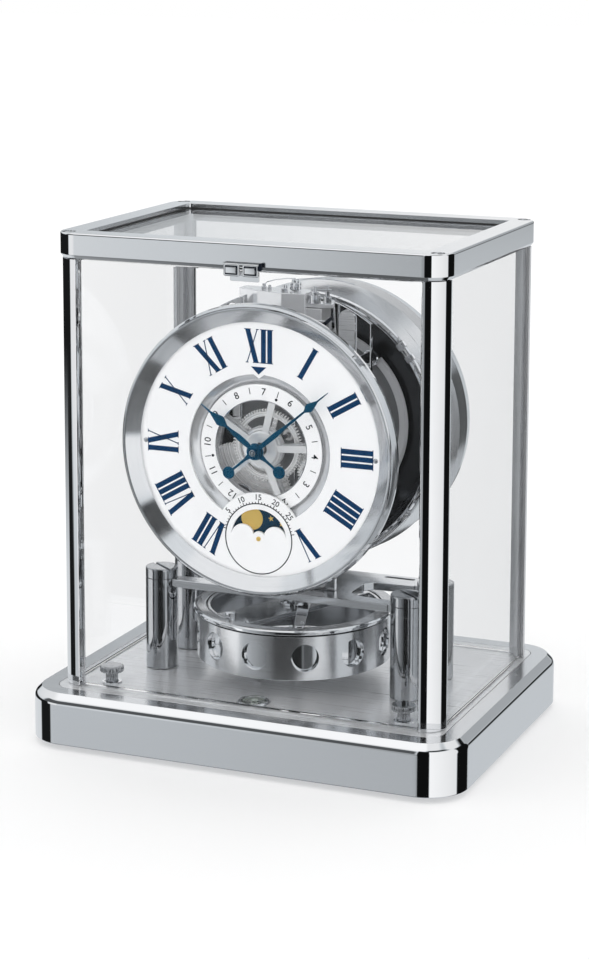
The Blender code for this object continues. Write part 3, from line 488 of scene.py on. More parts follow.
RINGTOP = metal("balance_flange", (0.52, 0.53, 0.545), 0.15, 0.03, ('rings', 'Z', BAL, 2600.0, 20.0), tint=0.03, metallic=0.8)
# dark copy of the rim's metal: painted shade for the inside of the balance's rim
RING_INSIDE_SHADE = metal("balance_inner_painted_shade", (0.30, 0.31, 0.325), 0.16, 0.04, ('z', 30.0, 1800.0), tint=0.06, metallic=0.9)
# chrome with its colour turned down: a painted dark reflection standing for the dark surroundings that the pillars and
# knobs mirror
CHROME_PAINTED_DARK = metal("polished_painted_dark_reflection", (0.44, 0.45, 0.465), 0.03, 0.005, tint=0.01, smudge=0.005)
FACETS = metal("block_satin", (0.78, 0.79, 0.805), 0.13, 0.02, None, tint=0.02, metallic=0.65)
CONE = metal("bezel_satin", (0.84, 0.85, 0.865), 0.07, 0.015, ('rings', 'Y', (0.0, DIAL_Z), 1400.0, 16.0), tint=0.02, metallic=0.95)
# darker copy of the drum's metal: a painted dark reflection on a band round the rear of the housing's side
DRUM_BAND_PAINTED_DARK = metal("drum_band_painted_reflection", (0.46, 0.47, 0.485), 0.10, 0.02, ('rings', 'Y', (0.0, DIAL_Z), 1400.0, 16.0), tint=0.02)
BANDA = metal("drum_lip", (0.72, 0.73, 0.745), 0.14, 0.02, ('rings', 'Y', (0.0, DIAL_Z), 1400.0, 16.0), tint=0.02, metallic=0.9)
PALE = metal("pale_satin", (0.84, 0.85, 0.86), 0.20, 0.03, None, tint=0.02, metallic=0.45)
CONE2 = metal("opening_satin", (0.84, 0.85, 0.865), 0.16, 0.02, ('rings', 'Y', (0.0, DIAL_Z), 1400.0, 16.0), tint=0.02, metallic=0.7)
CUPGREY = metal("inner_disc", (0.16, 0.165, 0.172), 0.34, 0.04, ('rings', 'Y', (0.0, DIAL_Z), 1800.0, 20.0), tint=0.04, metallic=0.2)
SOFT = metal("movement_satin", (0.62, 0.63, 0.645), 0.30, 0.05, ('z', 1500.0, 60.0), bump=0.000001, tint=0.05, metallic=0.6)
# near-black copy of the metal: painted shade and painted dark reflection for the housing's recess wall and the step
# inside the balance's flange
SHADE_WALL = metal("recess_painted_shade", (0.055, 0.058, 0.063), 0.22, 0.05, ('rings', 'Y', (0.0, DIAL_Z), 1500.0, 20.0), tint=0.05)
# mostly diffuse grey for the recess's floor ring: a painted reflection of the mid-grey it mirrors
RECESS_RING_PAINTED_GREY = metal("recess_ring_painted_reflection", (0.55, 0.56, 0.575), 0.32, 0.04, ('rings', 'Y', (0.0, DIAL_Z), 1800.0, 20.0), bump=0.0000006, tint=0.04,
                 metallic=0.15)
WEB = metal("web_brushed", (0.68, 0.69, 0.705), 0.17, 0.03, ('x', 1500.0, 60.0), bump=0.0000015, tint=0.06,
            aniso=0.6, tangent=(0, 1, 0))
PLATE_V = metal("plate_vertical", (0.52, 0.53, 0.545), 0.30, 0.06, ('x', 2200.0, 25.0), bump=0.000001, tint=0.06,
                aniso=0.5, tangent=(1, 0, 0), metallic=0.35)
POST_REAR = metal("post_soft", (0.60, 0.61, 0.625), 0.22, 0.01, None, tint=0.01, metallic=0.7)
SATIN = metal("satin", (0.68, 0.69, 0.705), 0.24, 0.05, ('x', 1500.0, 60.0), bump=0.000002, tint=0.04)
TURNED = metal("turned", (0.76, 0.77, 0.785), 0.16, 0.05, ('rings', 'Y', (0.0, DIAL_Z), 2600.0, 30.0), bump=0.000002, tint=0.04)
DRUM_IN = metal("drum_inside", (0.42, 0.43, 0.445), 0.22, 0.05, ('rings', 'Y', (0.0, DIAL_Z), 1800.0, 20.0), bump=0.000001, tint=0.05)
BRASSY = metal("wheel_nickel", (0.86, 0.86, 0.86), 0.26, 0.04, ('rings', 'Y', (0.0, DIAL_Z), 2200.0, 40.0), tint=0.04, metallic=0.35)
STEEL = metal("hard_steel", (0.55, 0.555, 0.57), 0.16, 0.05, None, tint=0.04)
BLUED = metal("blued", (0.004, 0.13, 0.25), 0.20, 0.04, None, tint=0.10, metallic=0.9)
GILT = metal("gilt", (0.86, 0.60, 0.17), 0.34, 0.05, None, tint=0.05, metallic=0.55)
WHITE = paint("white_lacquer", (0.875, 0.878, 0.885), 0.42, 0.0000012, 1500.0, tint=0.008)
INK = paint("ink_navy", (0.0006, 0.032, 0.098), 0.45, 0.000001, 2500.0, tint=0.06, spec=0.04)
# black for printed marks, and also painted shade round the catch lever's pads
BLACK = paint("dark_ink_and_painted_shade", (0.006, 0.009, 0.016), 0.45, tint=0.05, spec=0.08)
GREY = paint("ink_grey", (0.09, 0.10, 0.115), 0.4, tint=0.05)
SKY = paint("sky_lacquer", (0.001, 0.030, 0.062), 0.35, 0.000001, 1800.0, tint=0.08, spec=0.15)
RUBBER = paint("rubber", (0.022, 0.022, 0.023), 0.72, 0.00002, 700.0, tint=0.1)
GLASS = glass("pane", (0.982, 0.985, 0.989), 0.0, 1.24)
LENS = glass("lens", (0.97, 0.985, 0.98))
FLUID = glass("fluid", (0.90, 0.96, 0.92), 0.0, 1.33)

# ================================================================== base
b = Build()
prof = fil([(12.0, 14.5), (12.0, 2.5, 0.4), (0.0, 2.5, 0.5), (0.0, 21.7, 3.6), (3.2, 24.9, 0.25), (10.6, 24.9, 0.12), (10.6, 22.9)],
           step=6.0)
b.rim(200.0, 155.0, 18.5, prof, n=28)
cut_at = len(b.f)
base = piece("plinth", b, [SIDE, CHROME, RIMTOP], "case", "base_plinth", sharp=40)
for p in base.data.polygons:
    zs = [base.data.vertices[i].co.z for i in p.vertices]
    if min(zs) > 0.0198 and p.normal.z < 0.97:
        p.material_index = 1
    elif p.normal.z > 0.97 and min(zs) > 0.02:
        p.material_index = 2
    if abs(p.normal.z) < 0.2 and max(abs(p.normal.x), abs(p.normal.y)) < 0.995:
        p.material_index = 1

b = Build()
holes = [circle(0, -51.4, 7.3, 48)] + [circle(s * 68.3, -50.5, 3.4, 28) for s in (-1, 1)]
b.plate([rrect(178.2, 133.2, 7.3, 12)] + holes, 23.2, 24.9, None, 0.18, 2)
piece("top_inlay", b, TOPPLATE, "case", "base_top_plate")
NODES["base_bottom_cover"].data.materials.clear()
NODES["base_bottom_cover"].data.materials.append(SATIN)

for side, s in (("left", -1), ("right", 1)):
    b = Build()
    b.lathe(fil([(0, 0.0), (7.8, 0.0, 0.5), (7.8, 2.2, 0.5), (0, 2.2)]), up(s * 68.3, -50.5), 48)
    for k in range(3):
        b.lathe(fil([(2.0 + 1.9 * k, -0.0), (2.9 + 1.9 * k, -0.0)]) + [(2.9 + 1.9 * k, 0.05), (2.0 + 1.9 * k, 0.05)],
                up(s * 68.3, -50.5), 40, closed=True)
    piece("foot_pad_" + side, b, RUBBER, "foot_" + side, "levelling_foot_" + side)
    # knurled head over a fluted neck
    b = Build()
    M = up(s * 68.3, -50.5)
    knurl = [(5.25 - 0.42 * (0.5 + 0.5 * cos(18 * 2 * pi * i / 216)) ** 3, 2 * pi * i / 216) for i in range(216)]
    b.plate([[(r * cos(a), r * sin(a)) for r, a in knurl]], 29.9, 32.4, M, 0.35, 3)
    b.lathe(fil([(0, 32.35), (3.9, 32.35), (4.2, 32.5, 0.1), (3.3, 32.52), (0, 32.62)]), M, 48)
    flute = [(2.75 - 0.40 * (0.5 + 0.5 * cos(14 * 2 * pi * i / 168)) ** 2, 2 * pi * i / 168) for i in range(168)]
    b.plate([[(r * cos(a), r * sin(a)) for r, a in flute]], 26.1, 29.95, M, 0.15, 2)
    b.lathe(fil([(0, 3.4), (2.7, 3.4, 0.3), (2.7, 26.3, 0.1), (0, 26.3)]), M, 24)
    piece("levelling_knob_" + side, b, CHROME_PAINTED_DARK, "screw_" + side, "levelling_screw_" + side)
    b = Build()
    b.lathe(fil([(3.05, 24.85), (4.4, 24.85), (4.4, 25.5, 0.2), (3.05, 25.5, 0.1)], True), M, 48, closed=True)
    piece("levelling_bush_" + side, b, CHROME, "case")
NODES["rear_foot"].data.materials.clear()
NODES["rear_foot"].data.materials.append(RUBBER)

# round spirit level
b = Build()
M = up(0, -51.4)
b.lathe(fil([(0, 23.3), (7.0, 23.3, 0.1), (7.0, 25.2, 0.3), (6.6, 25.6, 0.3), (5.5, 25.6, 0.25), (5.3, 24.2, 0.1), (0, 24.2)], step=12), M, 96)
b.lathe(fil([(5.9, 25.55), (6.15, 25.72, 0.1), (6.4, 25.55)]) + [(6.4, 25.4), (5.9, 25.4)], M, 96, closed=True)
piece("level_cup_ring", b, CHROME, "case", "level_cup")
b = Build()
b.lathe([(0, 24.25), (5.2, 24.25), (5.2, 24.32), (0, 24.32)], M, 64)
b.lathe([(2.3, 24.36), (2.5, 24.40), (2.7, 24.36), (2.7, 24.3), (2.3, 24.3)], M, 64, mat=1, closed=True)
b.lathe([(3.7, 24.36), (3.8, 24.38), (3.9, 24.36), (3.9, 24.3), (3.7, 24.3)], M, 64, mat=1, closed=True)
piece("level_disc", b, [paint("level_back", (0.55, 0.62, 0.56), 0.3), BLACK], "case")
b = Build()
b.lathe([(5.2, 24.45)] + [(5.2 * cos(radians(k)), 25.1 + 0.85 * sin(radians(k))) for k in range(0, 91, 10)][:-1] + [(0, 25.95), ] , M, 64)
b.lathe([(0, 24.45), (5.2, 24.45)], M, 64)
piece("level_window", b, LENS, "case", "level_lens")
b = Build()
b.lathe([(0, 25.0)] + [(1.5 * sin(radians(k)), 25.35 - 0.35 * cos(radians(k))) for k in range(15, 166, 15)] + [(0, 25.7)], up(0.35, -51.1), 32)
piece("level_bubble", b, paint("bubble", (0.80, 0.86, 0.82), 0.15, coat=0.5), "case")

# lever that arrests the balance
b = Build()
M = up(*BAL)
b.lathe(fil([(0, 25.2), (8.0, 25.2, 0.1), (8.0, 27.2, 0.4), (5.0, 27.2, 0.3), (4.8, 30.2, 0.4), (0, 30.2)], step=12), M, 72)
la = radians(-122)
arm = fil([(5.0, -2.5, 0.3), (22.0, -2.5, 2.4), (22.0, 2.5, 2.4), (5.0, 2.5, 0.3)], True)
b.plate([rot(arm, la)], 25.35, 27.15, M, 0.3, 3)
b.lathe(fil([(0, 27.0), (1.7, 27.0), (1.7, 29.45, 0.5), (0, 29.45)]), up(BAL[0] + 20 * cos(la), BAL[1] + 20 * sin(la)), 32)
b.lathe(fil([(0, 30.1), (2.2, 30.1), (2.2, 30.6, 0.2), (0, 30.6)]), M, 40)
piece("lock_lever", b, CHROME, "lock_lever", "balance_lock_lever")

# ================================================================== cabinet
for ky, sy in (("front", -1), ("rear", 1)):
    for kx, sx in (("left", -1), ("right", 1)):
        key = ky + "_" + kx
        cx, cy, r = 78.5, 52.9, 9.6
        pts = [(cx + 3.0, cy, 0), (cx + r, cy, 0.25)]
        loop = [(cx + 3.0, cy), (cx + r - 0.25, cy)] + arc(cx, cy, r, radians(1.6), radians(88.4), 26) + \
               [(cx, cy + r - 0.25), (cx, cy + 3.0), (cx + 3.0, cy + 3.0)]
        loop = [(sx * x, sy * y) for x, y in loop]
        b = Build()
        b.plate([loop], 25.2, 213.7, None, 0.2, 2)
        b.plate([shift(loop if area(loop) > 0 else loop[::-1], 0.5)], 24.95, 25.3, None, 0.05, 1)
        piece("post_" + key, b, CHROME if sy < 0 else POST_REAR, "case", "corner_post_" + key, sharp=28)
        b = Build()
        M = up(sx * 83.5, sy * 57.9)
        b.slotted(M, 2.5, 222.6, 224.4, 0.7, 0.7, radians(20 if sx > 0 else -35), 0.25)
        b.lathe([(0, 214.5), (1.6, 214.5), (1.6, 222.7), (0, 222.7)], M, 20)
        piece("frame_screw_" + key, b, CHROME, "case", "top_screw_" + key)

b = Build()
outer = rrect(178.2, 126.8, 10.8, 20)
prof = fil([(10.8, 214.0 + 4.1), (10.8 + 2.7, 214.0 + 4.1, 0.1), (10.8 + 2.7, 214.0, 0.2), (0.0, 214.0, 0.7), (0.0, 225.0, 0.9),
            (10.8, 225.0, 0.25)], step=10)


def frame_ring(w0, d0, r0, w1, d1, r1, t):
    return rrect(w0 + (w1 - w0) * t, d0 + (d1 - d0) * t, max(0.3, r0 + (r1 - r0) * t), 20)


def loops_between(b, rings, mat=0):
    verts, idx = [], []
    for lp, z in rings:
        idx.append(list(range(len(verts), len(verts) + len(lp))))
        verts += [(x, y, z) for x, y in lp]
    n = len(rings[0][0])
    faces = []
    for p, q in zip(idx, idx[1:] + idx[:1]):
        faces += [(p[k], p[(k + 1) % n], q[(k + 1) % n], q[k]) for k in range(n)]
    b.add(verts, faces, None, mat)


R = []
for i, z in fil([(2.0, 214.0), (1.1, 214.0, 0.2), (0.0, 215.5, 0.3), (0.0, 225.0, 1.0), (2.0, 225.0)], step=10):
    R.append((rrect(178.2 - 2 * i, 126.8 - 2 * i, 10.8 - i, 20), z))
for i, z in fil([(-2.0, 225.0), (0.0, 225.0, 0.25), (0.0, 218.1), (2.65, 218.1, 0.15), (2.65, 214.0, 0.2), (2.0, 214.0)], step=15):
    R.append((rrect(156.6 - 2 * i, 105.2 - 2 * i, 1.6 if i < 1 else 1.2, 20), z))
loops_between(b, R)
top = piece("top_frame_ring", b, [FRAME, CHROME], "case", "top_frame", sharp=35)
# counterbores for the four screws
bm = bmesh.new()
for sx in (-1, 1):
    for sy in (-1, 1):
        bmesh.ops.create_cone(bm, cap_ends=True, segments=40, radius1=0.0029, radius2=0.0029, depth=0.006,
                              matrix=Matrix.Translation((sx * 0.0835, sy * 0.0579, 0.2255)))
cm = bpy.data.meshes.new("cutter")
bm.to_mesh(cm)
bm.free()
cm.materials.append(CHROME)
carved(top, cm)
for p in top.data.polygons:
    n = p.normal
    if (abs(n.z) < 0.5 and max(abs(n.x), abs(n.y)) < 0.998) or 0.05 < abs(n.z) < 0.95:
        p.material_index = 1
finish_mesh(top, 35)

for g in ("top_glass", "left_glass", "right_glass", "rear_glass", "front_glass"):
    o = NODES[g]
    o.data.materials.clear()
    o.data.materials.append(GLASS)
    w = o.modifiers.new("Weld", 'WELD')
    w.merge_threshold = 0.00001
    v = o.modifiers.new("Bevel", 'BEVEL')
    v.width, v.segments, v.limit_method = 0.00035, 2, 'ANGLE'

# dark rubber ring round the top glass's edge: painted shade for the dark gap between glass and frame
b = Build()
sl = []
for i, z in fil([(-0.1, 222.45), (-0.1, 223.1, 0.1), (0.75, 223.0, 0.1), (0.9, 222.45)], True, step=30):
    sl.append((rrect(156.3 - 2 * i, 104.9 - 2 * i, 1.0, 10), z))
loops_between(b, sl)
piece("top_glass_gap_shade", b, RUBBER, "case")

# catch at the top of the front glass
b = Build()
b.plate([fil([(-6.6, 208.8, 0.5), (6.6, 208.8, 0.5), (6.6, 213.0, 0.3), (-6.6, 213.0, 0.3)], True)], 61.1, 61.5, face(0, 0), 0.1, 1)
b.plate([fil([(-6.6, 211.6, 0.3), (6.6, 211.6, 0.3), (6.6, 213.2, 0.3), (-6.6, 213.2, 0.3)], True)], 61.4, 64.0, face(0, 0), 0.2, 2)
piece("catch_bracket", b, CHROME, "front_door", "front_catch_bracket")
b = Build()
for x0 in (-7.9, 0.7):
    b.plate([fil([(x0, 211.3, 0.8), (x0 + 7.2, 211.3, 0.8), (x0 + 7.2, 216.6, 0.8), (x0, 216.6, 0.8)], True)], 64.2, 65.5, face(0, 0), 0.35, 3)
    # thin black plate between each lobe and its pad: painted shade for the dark gap round the pad
    b.plate([fil([(x0 + 0.7, 212.0, 0.4), (x0 + 6.5, 212.0, 0.4), (x0 + 6.5, 215.9, 0.4), (x0 + 0.7, 215.9, 0.4)], True)],
            65.3, 65.56, face(0, 0), 0.02, 1, mat=1)
    b.plate([fil([(x0 + 1.2, 212.5, 0.3), (x0 + 6.0, 212.5, 0.3), (x0 + 6.0, 215.4, 0.3), (x0 + 1.2, 215.4, 0.3)], True)],
            65.4, 66.2, face(0, 0), 0.3, 2)
b.plate([fil([(-8.2, 216.0, 0.3), (8.2, 216.0, 0.3), (8.2, 217.0, 0.3), (-8.2, 217.0, 0.3)], True)], 63.9, 65.2, face(0, 0), 0.2, 2)
b.plate([fil([(7.6, 214.2, 0.4), (9.3, 214.2, 0.5), (9.3, 217.0, 0.6), (8.3, 217.4, 0.4), (8.0, 216.0, 0.2), (7.6, 216.0, 0.2)], True)],
        63.9, 65.9, face(0, 0), 0.25, 2, mat=1)
piece("catch_lever", b, [CHROME_SOFT, BLACK], "catch", "front_catch_lever")

# ================================================================== stand of the movement
for key, (x, y, zt) in PILLARS.items():
    s = 1 if x > 0 else -1
    M = up(x, y)
    b = Build()
    # a turned pillar, cut open towards the clock's middle where it takes the platform
    b.lathe(fil([(0, 25.2), (7.2, 25.2, 0.25), (7.2, 62.2, 0.1), (0, 62.2)], step=15), M, 72)
    a = asin(3.4 / 7.2)
    top_l = arc(0, 0, 7.2, a, 2 * pi - a, 60)
    top_l = [(px, py) for px, py in top_l] + [(-2.4, -3.4), (-2.4, 3.4)]
    if s > 0:
        top_l = [(-px, py) for px, py in top_l]
    b.plate([top_l], 62.15, 66.2, M, 0.12, 2)
    b.lathe(fil([(7.0, 29.6), (7.26, 29.75, 0.05), (7.0, 29.9)]) , M, 72)
    # the pillars and their caps take the darkened chrome, a painted dark reflection
    piece("pillar_col_" + key, b, CHROME_PAINTED_DARK, "case", "pillar_" + key, sharp=28)
    b = Build()
    b.slotted(M, 7.2, 66.5, zt, 1.3, 1.1, radians(-38), 0.5, seg=72)
    b.lathe([(0, 53.0), (1.8, 53.0), (1.8, 66.6), (0, 66.6)], M, 20)
    piece("pillar_cap_" + key, b, CHROME_PAINTED_DARK, "case", "pillar_screw_" + key, sharp=28)

half = [(0.0, -23.5), (50.4, -23.5), (50.4, -23.0), (60.3, -23.0), (60.3, -17.0), (50.4, -17.0), (50.4, -16.5),
        (33.0, -15.0, 1.5), (29.0, -11.0, 3.0), (29.0, 3.0, 3.0), (33.0, 7.0, 1.5), (51.2, 8.0), (51.2, 9.0), (61.0, 9.0), (61.0, 15.0),
        (51.2, 15.0), (51.2, 22.0, 1.0), (0.0, 22.0)]
half = fil(half, step=12)
loop = half + [(-x, y) for x, y in reversed(half)][1:-1]
b = Build()
slots = [fil([(s * 34.0, 17.0, 0.9), (s * 48.0, 17.0, 0.9), (s * 48.0, 19.0, 0.9), (s * 34.0, 19.0, 0.9)], True) for s in (-1, 1)]
bores = [circle(x, y, 2.1, 28) for x, y, _ in PILLARS.values()]
b.plate([loop, circle(BAL[0], BAL[1], 9.0, 60)] + slots + bores, 62.8, 66.2, None, 0.3, 3)
piece("platform", b, [metal("platform_satin", (0.74, 0.75, 0.765), 0.18, 0.04, ('x', 1600.0, 35.0), bump=0.0000015, tint=0.03)],
      "case", "movement_platform")

# tapered finger over the rim of the balance
b = Build()
fin = fil([(5.6, -14.5, 0.5), (18.6, -51.0, 0.8), (20.4, -53.8, 1.2), (23.6, -52.4, 1.0), (23.0, -49.6, 0.8), (11.4, -14.5, 0.5)], True)
slot = fil([(19.9, -46.5, 0.4), (20.6, -48.6, 0.4), (21.5, -48.3, 0.4), (20.8, -46.2, 0.4)], True)
b.plate([fin, slot], 60.4, 61.4, None, 0.28, 3)
b.plate([fil([(6.4, -21.5, 0.5), (10.6, -21.5, 0.5), (10.6, -15.0, 0.5), (6.4, -15.0, 0.5)], True)], 61.3, 62.5, None, 0.1, 2)
b.slotted(up(8.5, -17.2), 1.5, 59.4, 60.45, 0.4, 0.3, 0.4, 0.1)
piece("guard_finger", b, CHROME, "case", "balance_guard_finger")

# ================================================================== balance
M = up(*BAL)
b = Build()
b.lathe(fil([(41.2, 54.6), (41.2, 34.3, 0.1), (43.2, 34.3, 0.35), (43.2, 53.7, 0.1), (42.5, 53.8), (42.5, 54.7), (44.5, 54.8, 0.3), (44.8, 56.2, 0.5),
             (44.2, 56.9, 0.3), (43.2, 57.0, 0.2), (39.4, 57.0, 0.4), (39.2, 54.8, 0.2)], True, step=15), M, 240, closed=True)
ring = piece("balance_rim", b, [RINGSIDE, CHROME, RINGTOP, RING_INSIDE_SHADE, SHADE_WALL], "balance", "balance_ring", weighted=False)
for p in ring.data.polygons:
    c = p.center
    r = sqrt(c.x ** 2 + (c.y - BAL[1] * MM) ** 2)
    if c.z > 0.05475:
        p.material_index = 2 if p.normal.z > 0.9 else 1
    # the inner step under the flange takes the near-black painted shade
    elif c.z > 0.05365 and r < 0.04305:
        p.material_index = 4
bm = bmesh.new()
for i in range(12):
    a = radians(-91.3) + 2 * pi * i / 12
    R_ = Matrix.Translation((0, BAL[1] * MM, 0.0443)) @ Matrix.Rotation(a, 4, 'Z') @ Matrix.Rotation(pi / 2, 4, 'Y')
    vs = []
    for r, h in ((5.9, 39.6), (5.9, 42.7), (6.5, 43.8), (6.5, 47.0)):
        vs.append([bm.verts.new(R_ @ Vector((r * cos(2 * pi * k / 48) * MM, r * sin(2 * pi * k / 48) * MM, h * MM))) for k in range(48)])
    for p, q in zip(vs, vs[1:]):
        for k in range(48):
            bm.faces.new((p[k], p[(k + 1) % 48], q[(k + 1) % 48], q[k]))
    bm.faces.new(vs[0][::-1])
    bm.faces.new(vs[-1])
bmesh.ops.recalc_face_normals(bm, faces=bm.faces)
cm = bpy.data.meshes.new("cutter")
bm.to_mesh(cm)
bm.free()
cm.materials.append(CHROME)
carved(ring, cm)
finish_mesh(ring, 30)
# liner inside the rim; its inner face takes the dark painted shade
b = Build()
b.lathe(fil([(39.0, 54.9), (39.0, 34.4, 0.3), (41.1, 34.4, 0.1), (41.1, 54.5, 0.1), (40.6, 54.9)], True, step=15), M, 200, closed=True)
liner = piece("balance_liner", b, [RING_INSIDE_SHADE, CHROME], "balance")
for p in liner.data.polygons:
    c = p.center
    if sqrt(c.x ** 2 + (c.y - BAL[1] * MM) ** 2) > 0.0408:
        p.material_index = 1

b = Build()


def d_loop(side, r=37.4, w=10.0):
    a = asin(w / r)
    return rot(fil([(x, y, 1.2 if i in (0, 40) else 0) for i, (x, y) in enumerate(arc(0, 0, r, a, pi - a, 40))], True),
               WEB_A + (0 if side > 0 else pi))


b.plate([circle(0, 0, 38.7, 160), d_loop(1), d_loop(-1), circle(0, 0, 2.9, 32)], 54.6, 56.6, M, 0.25, 3)
ta = radians(-117)
b.lathe(fil([(0, 56.5), (2.3, 56.5), (2.3, 57.0), (1.9, 57.1), (1.9, 57.6), (2.3, 57.7), (2.3, 59.3, 0.35), (0, 59.3)]), up(BAL[0] + 36.6 * cos(ta), BAL[1] + 36.6 * sin(ta)), 36, mat=1)
for k in range(4):
    a = WEB_A + radians((11, -11, 169, 191)[k])
    b.slotted(up(BAL[0] + 35.2 * cos(a), BAL[1] + 35.2 * sin(a)), 1.25, 56.5, 57.3, 0.35, 0.35, a, 0.12, mat=1)
piece("balance_spoke_plate", b, [WEB, CHROME], "balance", "balance_web")

b = Build()
b.lathe(fil([(0, 69.0), (3.4, 69.0, 0.1), (3.6, 68.8), (3.6, 67.7), (3.4, 67.5), (1.6, 67.5), (1.6, 62.4), (3.2, 62.2, 0.3), (3.6, 61.0, 0.2),
             (3.9, 60.4, 0.2), (3.9, 58.2, 0.2), (6.6, 57.8, 0.4), (6.6, 56.7), (2.6, 56.7), (2.6, 37.0), (1.2, 33.0), (0, 31.0)], step=15), M, 60)
for k in range(3):
    a = WEB_A + radians(30 + 120 * k)
    b.slotted(up(BAL[0] + 5.2 * cos(a), BAL[1] + 5.2 * sin(a)), 0.8, 57.5, 58.3, 0.22, 0.25, a, 0.08)
b.lathe(fil([(0, 68.9), (0.9, 68.9), (0.9, 71.5, 0.2), (0, 71.5)]), M, 20)
piece("balance_staff_hub", b, CHROME, "balance", "balance_staff")
for n in ("torsion_wire",):
    NODES[n].data.materials.clear()
    NODES[n].data.materials.append(STEEL)

# ================================================================== suspension
b = Build()
blk = fil([(-26.0, 0.5), (-26.6, -6.0), (-15.5, -11.6, 0.4), (-3.0, -14.4, 0.4), (7.5, -13.0, 0.3), (7.5, 0.5)], True)
b.plate([blk, circle(BAL[0], BAL[1], 1.3, 20)], 186.0, 197.0, None, 0.4, 3)
b.plate([fil([(7.2, -12.0, 0.3), (14.4, -11.0, 0.4), (14.4, 0.0, 0.3), (7.2, 0.0)], True)], 176.0, 190.6, None, 0.35, 3)
b.plate([fil([(7.2, -10.6, 0.2), (18.8, -9.0, 0.5), (18.8, -1.0, 0.5), (7.2, -1.0)], True)], 190.9, 192.6, None, 0.25, 2)
piece("suspension_block", b, FACETS, "case", "suspension_bridge", sharp=14)
b = Build()
M = up(*BAL)
kn = [(2.5 - 0.22 * (i % 2), 2 * pi * i / 48) for i in range(48)]
b.plate([[(r * cos(a), r * sin(a)) for r, a in kn]], 197.4, 200.6, M, 0.15, 1)
b.lathe(fil([(0, 200.5), (1.6, 200.5), (1.6, 202.0, 0.3), (0, 202.0)]), M, 32)
b.lathe([(0, 187.5), (1.0, 187.5), (1.0, 197.5), (0, 197.5)], M, 20)
piece("suspension_nut", b, CHROME, "case", "suspension_knob")


def knob(b, x, y, z0, z1, r, teeth=24, mat=0):
    pts = [(r - 0.16 * r * (i % 2), 2 * pi * i / (2 * teeth)) for i in range(2 * teeth)]
    b.plate([[(q * cos(a), q * sin(a)) for q, a in pts]], z0, z1, up(x, y), 0.12, 1, mat)


b = Build()
# adjusting screws and a clamped spring on top of the movement
for x, y, z, r, h in ((-14.5, -6.5, 197.0, 1.1, 2.4), (-12.0, -6.0, 197.0, 0.9, 1.8), (-3.0, -10.5, 197.0, 1.5, 3.0)):
    knob(b, x, y, z - 0.1, z + h * 0.55, r)
    b.slotted(up(x, y), r * 0.72, z + h * 0.5, z + h, 0.35, 0.4, x, 0.1)
for x, y, r, z0, z1 in ((10.4, -8.6, 2.5, 192.6, 196.2), (10.4, -8.6, 1.6, 196.1, 197.6), (15.4, -6.6, 1.8, 192.6, 195.4), (15.4, -6.6, 1.0, 195.3, 198.2)):
    knob(b, x, y, z0, z1, r, 20)
b.plate([fil([(8.6, -9.6, 0.3), (17.6, -7.6, 0.3), (17.6, -6.2, 0.3), (8.6, -8.0, 0.3)], True)], 198.0, 198.7, None, 0.15, 2)
b.lathe(fil([(0, 197.5), (0.8, 197.5), (0.8, 200.2, 0.2), (0, 200.2)]), up(10.4, -8.6), 20)
b.lathe(fil([(0, 198.0), (0.6, 198.0), (0.6, 200.8, 0.2), (0, 200.8)]), up(15.4, -6.6), 20)
b.tube([(-14.5, -6.5, 199.0), (-13.0, -6.4, 200.2), (-9.0, -6.2, 201.4), (-4.0, -6.0, 202.2), (0.0, -5.6, 202.4)], 0.24, 8)
b.tube([(0.0, -5.6, 202.0), (6.0, -3.0, 202.4), (12.0, 1.5, 202.0), (18.0, 6.0, 200.6), (22.0, 9.0, 199.0)], 0.22, 8)
# small blackened clamp beside the plate
b.plate([fil([(15.2, 176.0, 0.3), (20.0, 180.0, 0.3), (20.0, 182.4, 0.3), (15.2, 178.6, 0.3)], True)], 12.4, 14.2, face(0, 0), 0.2, 2, mat=1)
b.plate([fil([(15.2, 182.0, 0.3), (20.2, 186.6, 0.3), (20.2, 188.4, 0.3), (15.2, 184.2, 0.3)], True)], 12.4, 14.2, face(0, 0), 0.2, 2, mat=1)
b.plate([fil([(18.6, 178.0, 0.2), (20.0, 178.0, 0.2), (20.0, 188.0, 0.2), (18.6, 188.0, 0.2)], True)], 12.0, 13.4, face(0, 0), 0.2, 2)
piece("adjusting_screws", b, [CHROME, BLACK], "case")

# ================================================================== movement plates
b = Build()
top_r = arc(0, DIAL_Z, 64.0, atan2(51.5, 38.0), atan2(60.56, 20.7), 16)
foot = [(22.0, 66.5), (22.0, 80.0), (27.0, 90.0), (36.0, 97.0), (38.0, 103.0)]
outline = [(-x, z) for x, z in reversed(foot)] + foot + top_r + [(20.7, 186.0), (-20.7, 186.0)] + [(-x, z) for x, z in reversed(top_r)]


def arch(sx):
    pts = [(23.5, 140.0), (30.3, 140.0), (30.3, 187.4)] + [(26.9 + 3.4 * cos(pi * i / 16), 187.4 + 3.6 * sin(pi * i / 16)) for i in range(1, 16)] + \
        [(23.5, 187.4)]
    return [(sx * x, z) for x, z in pts]


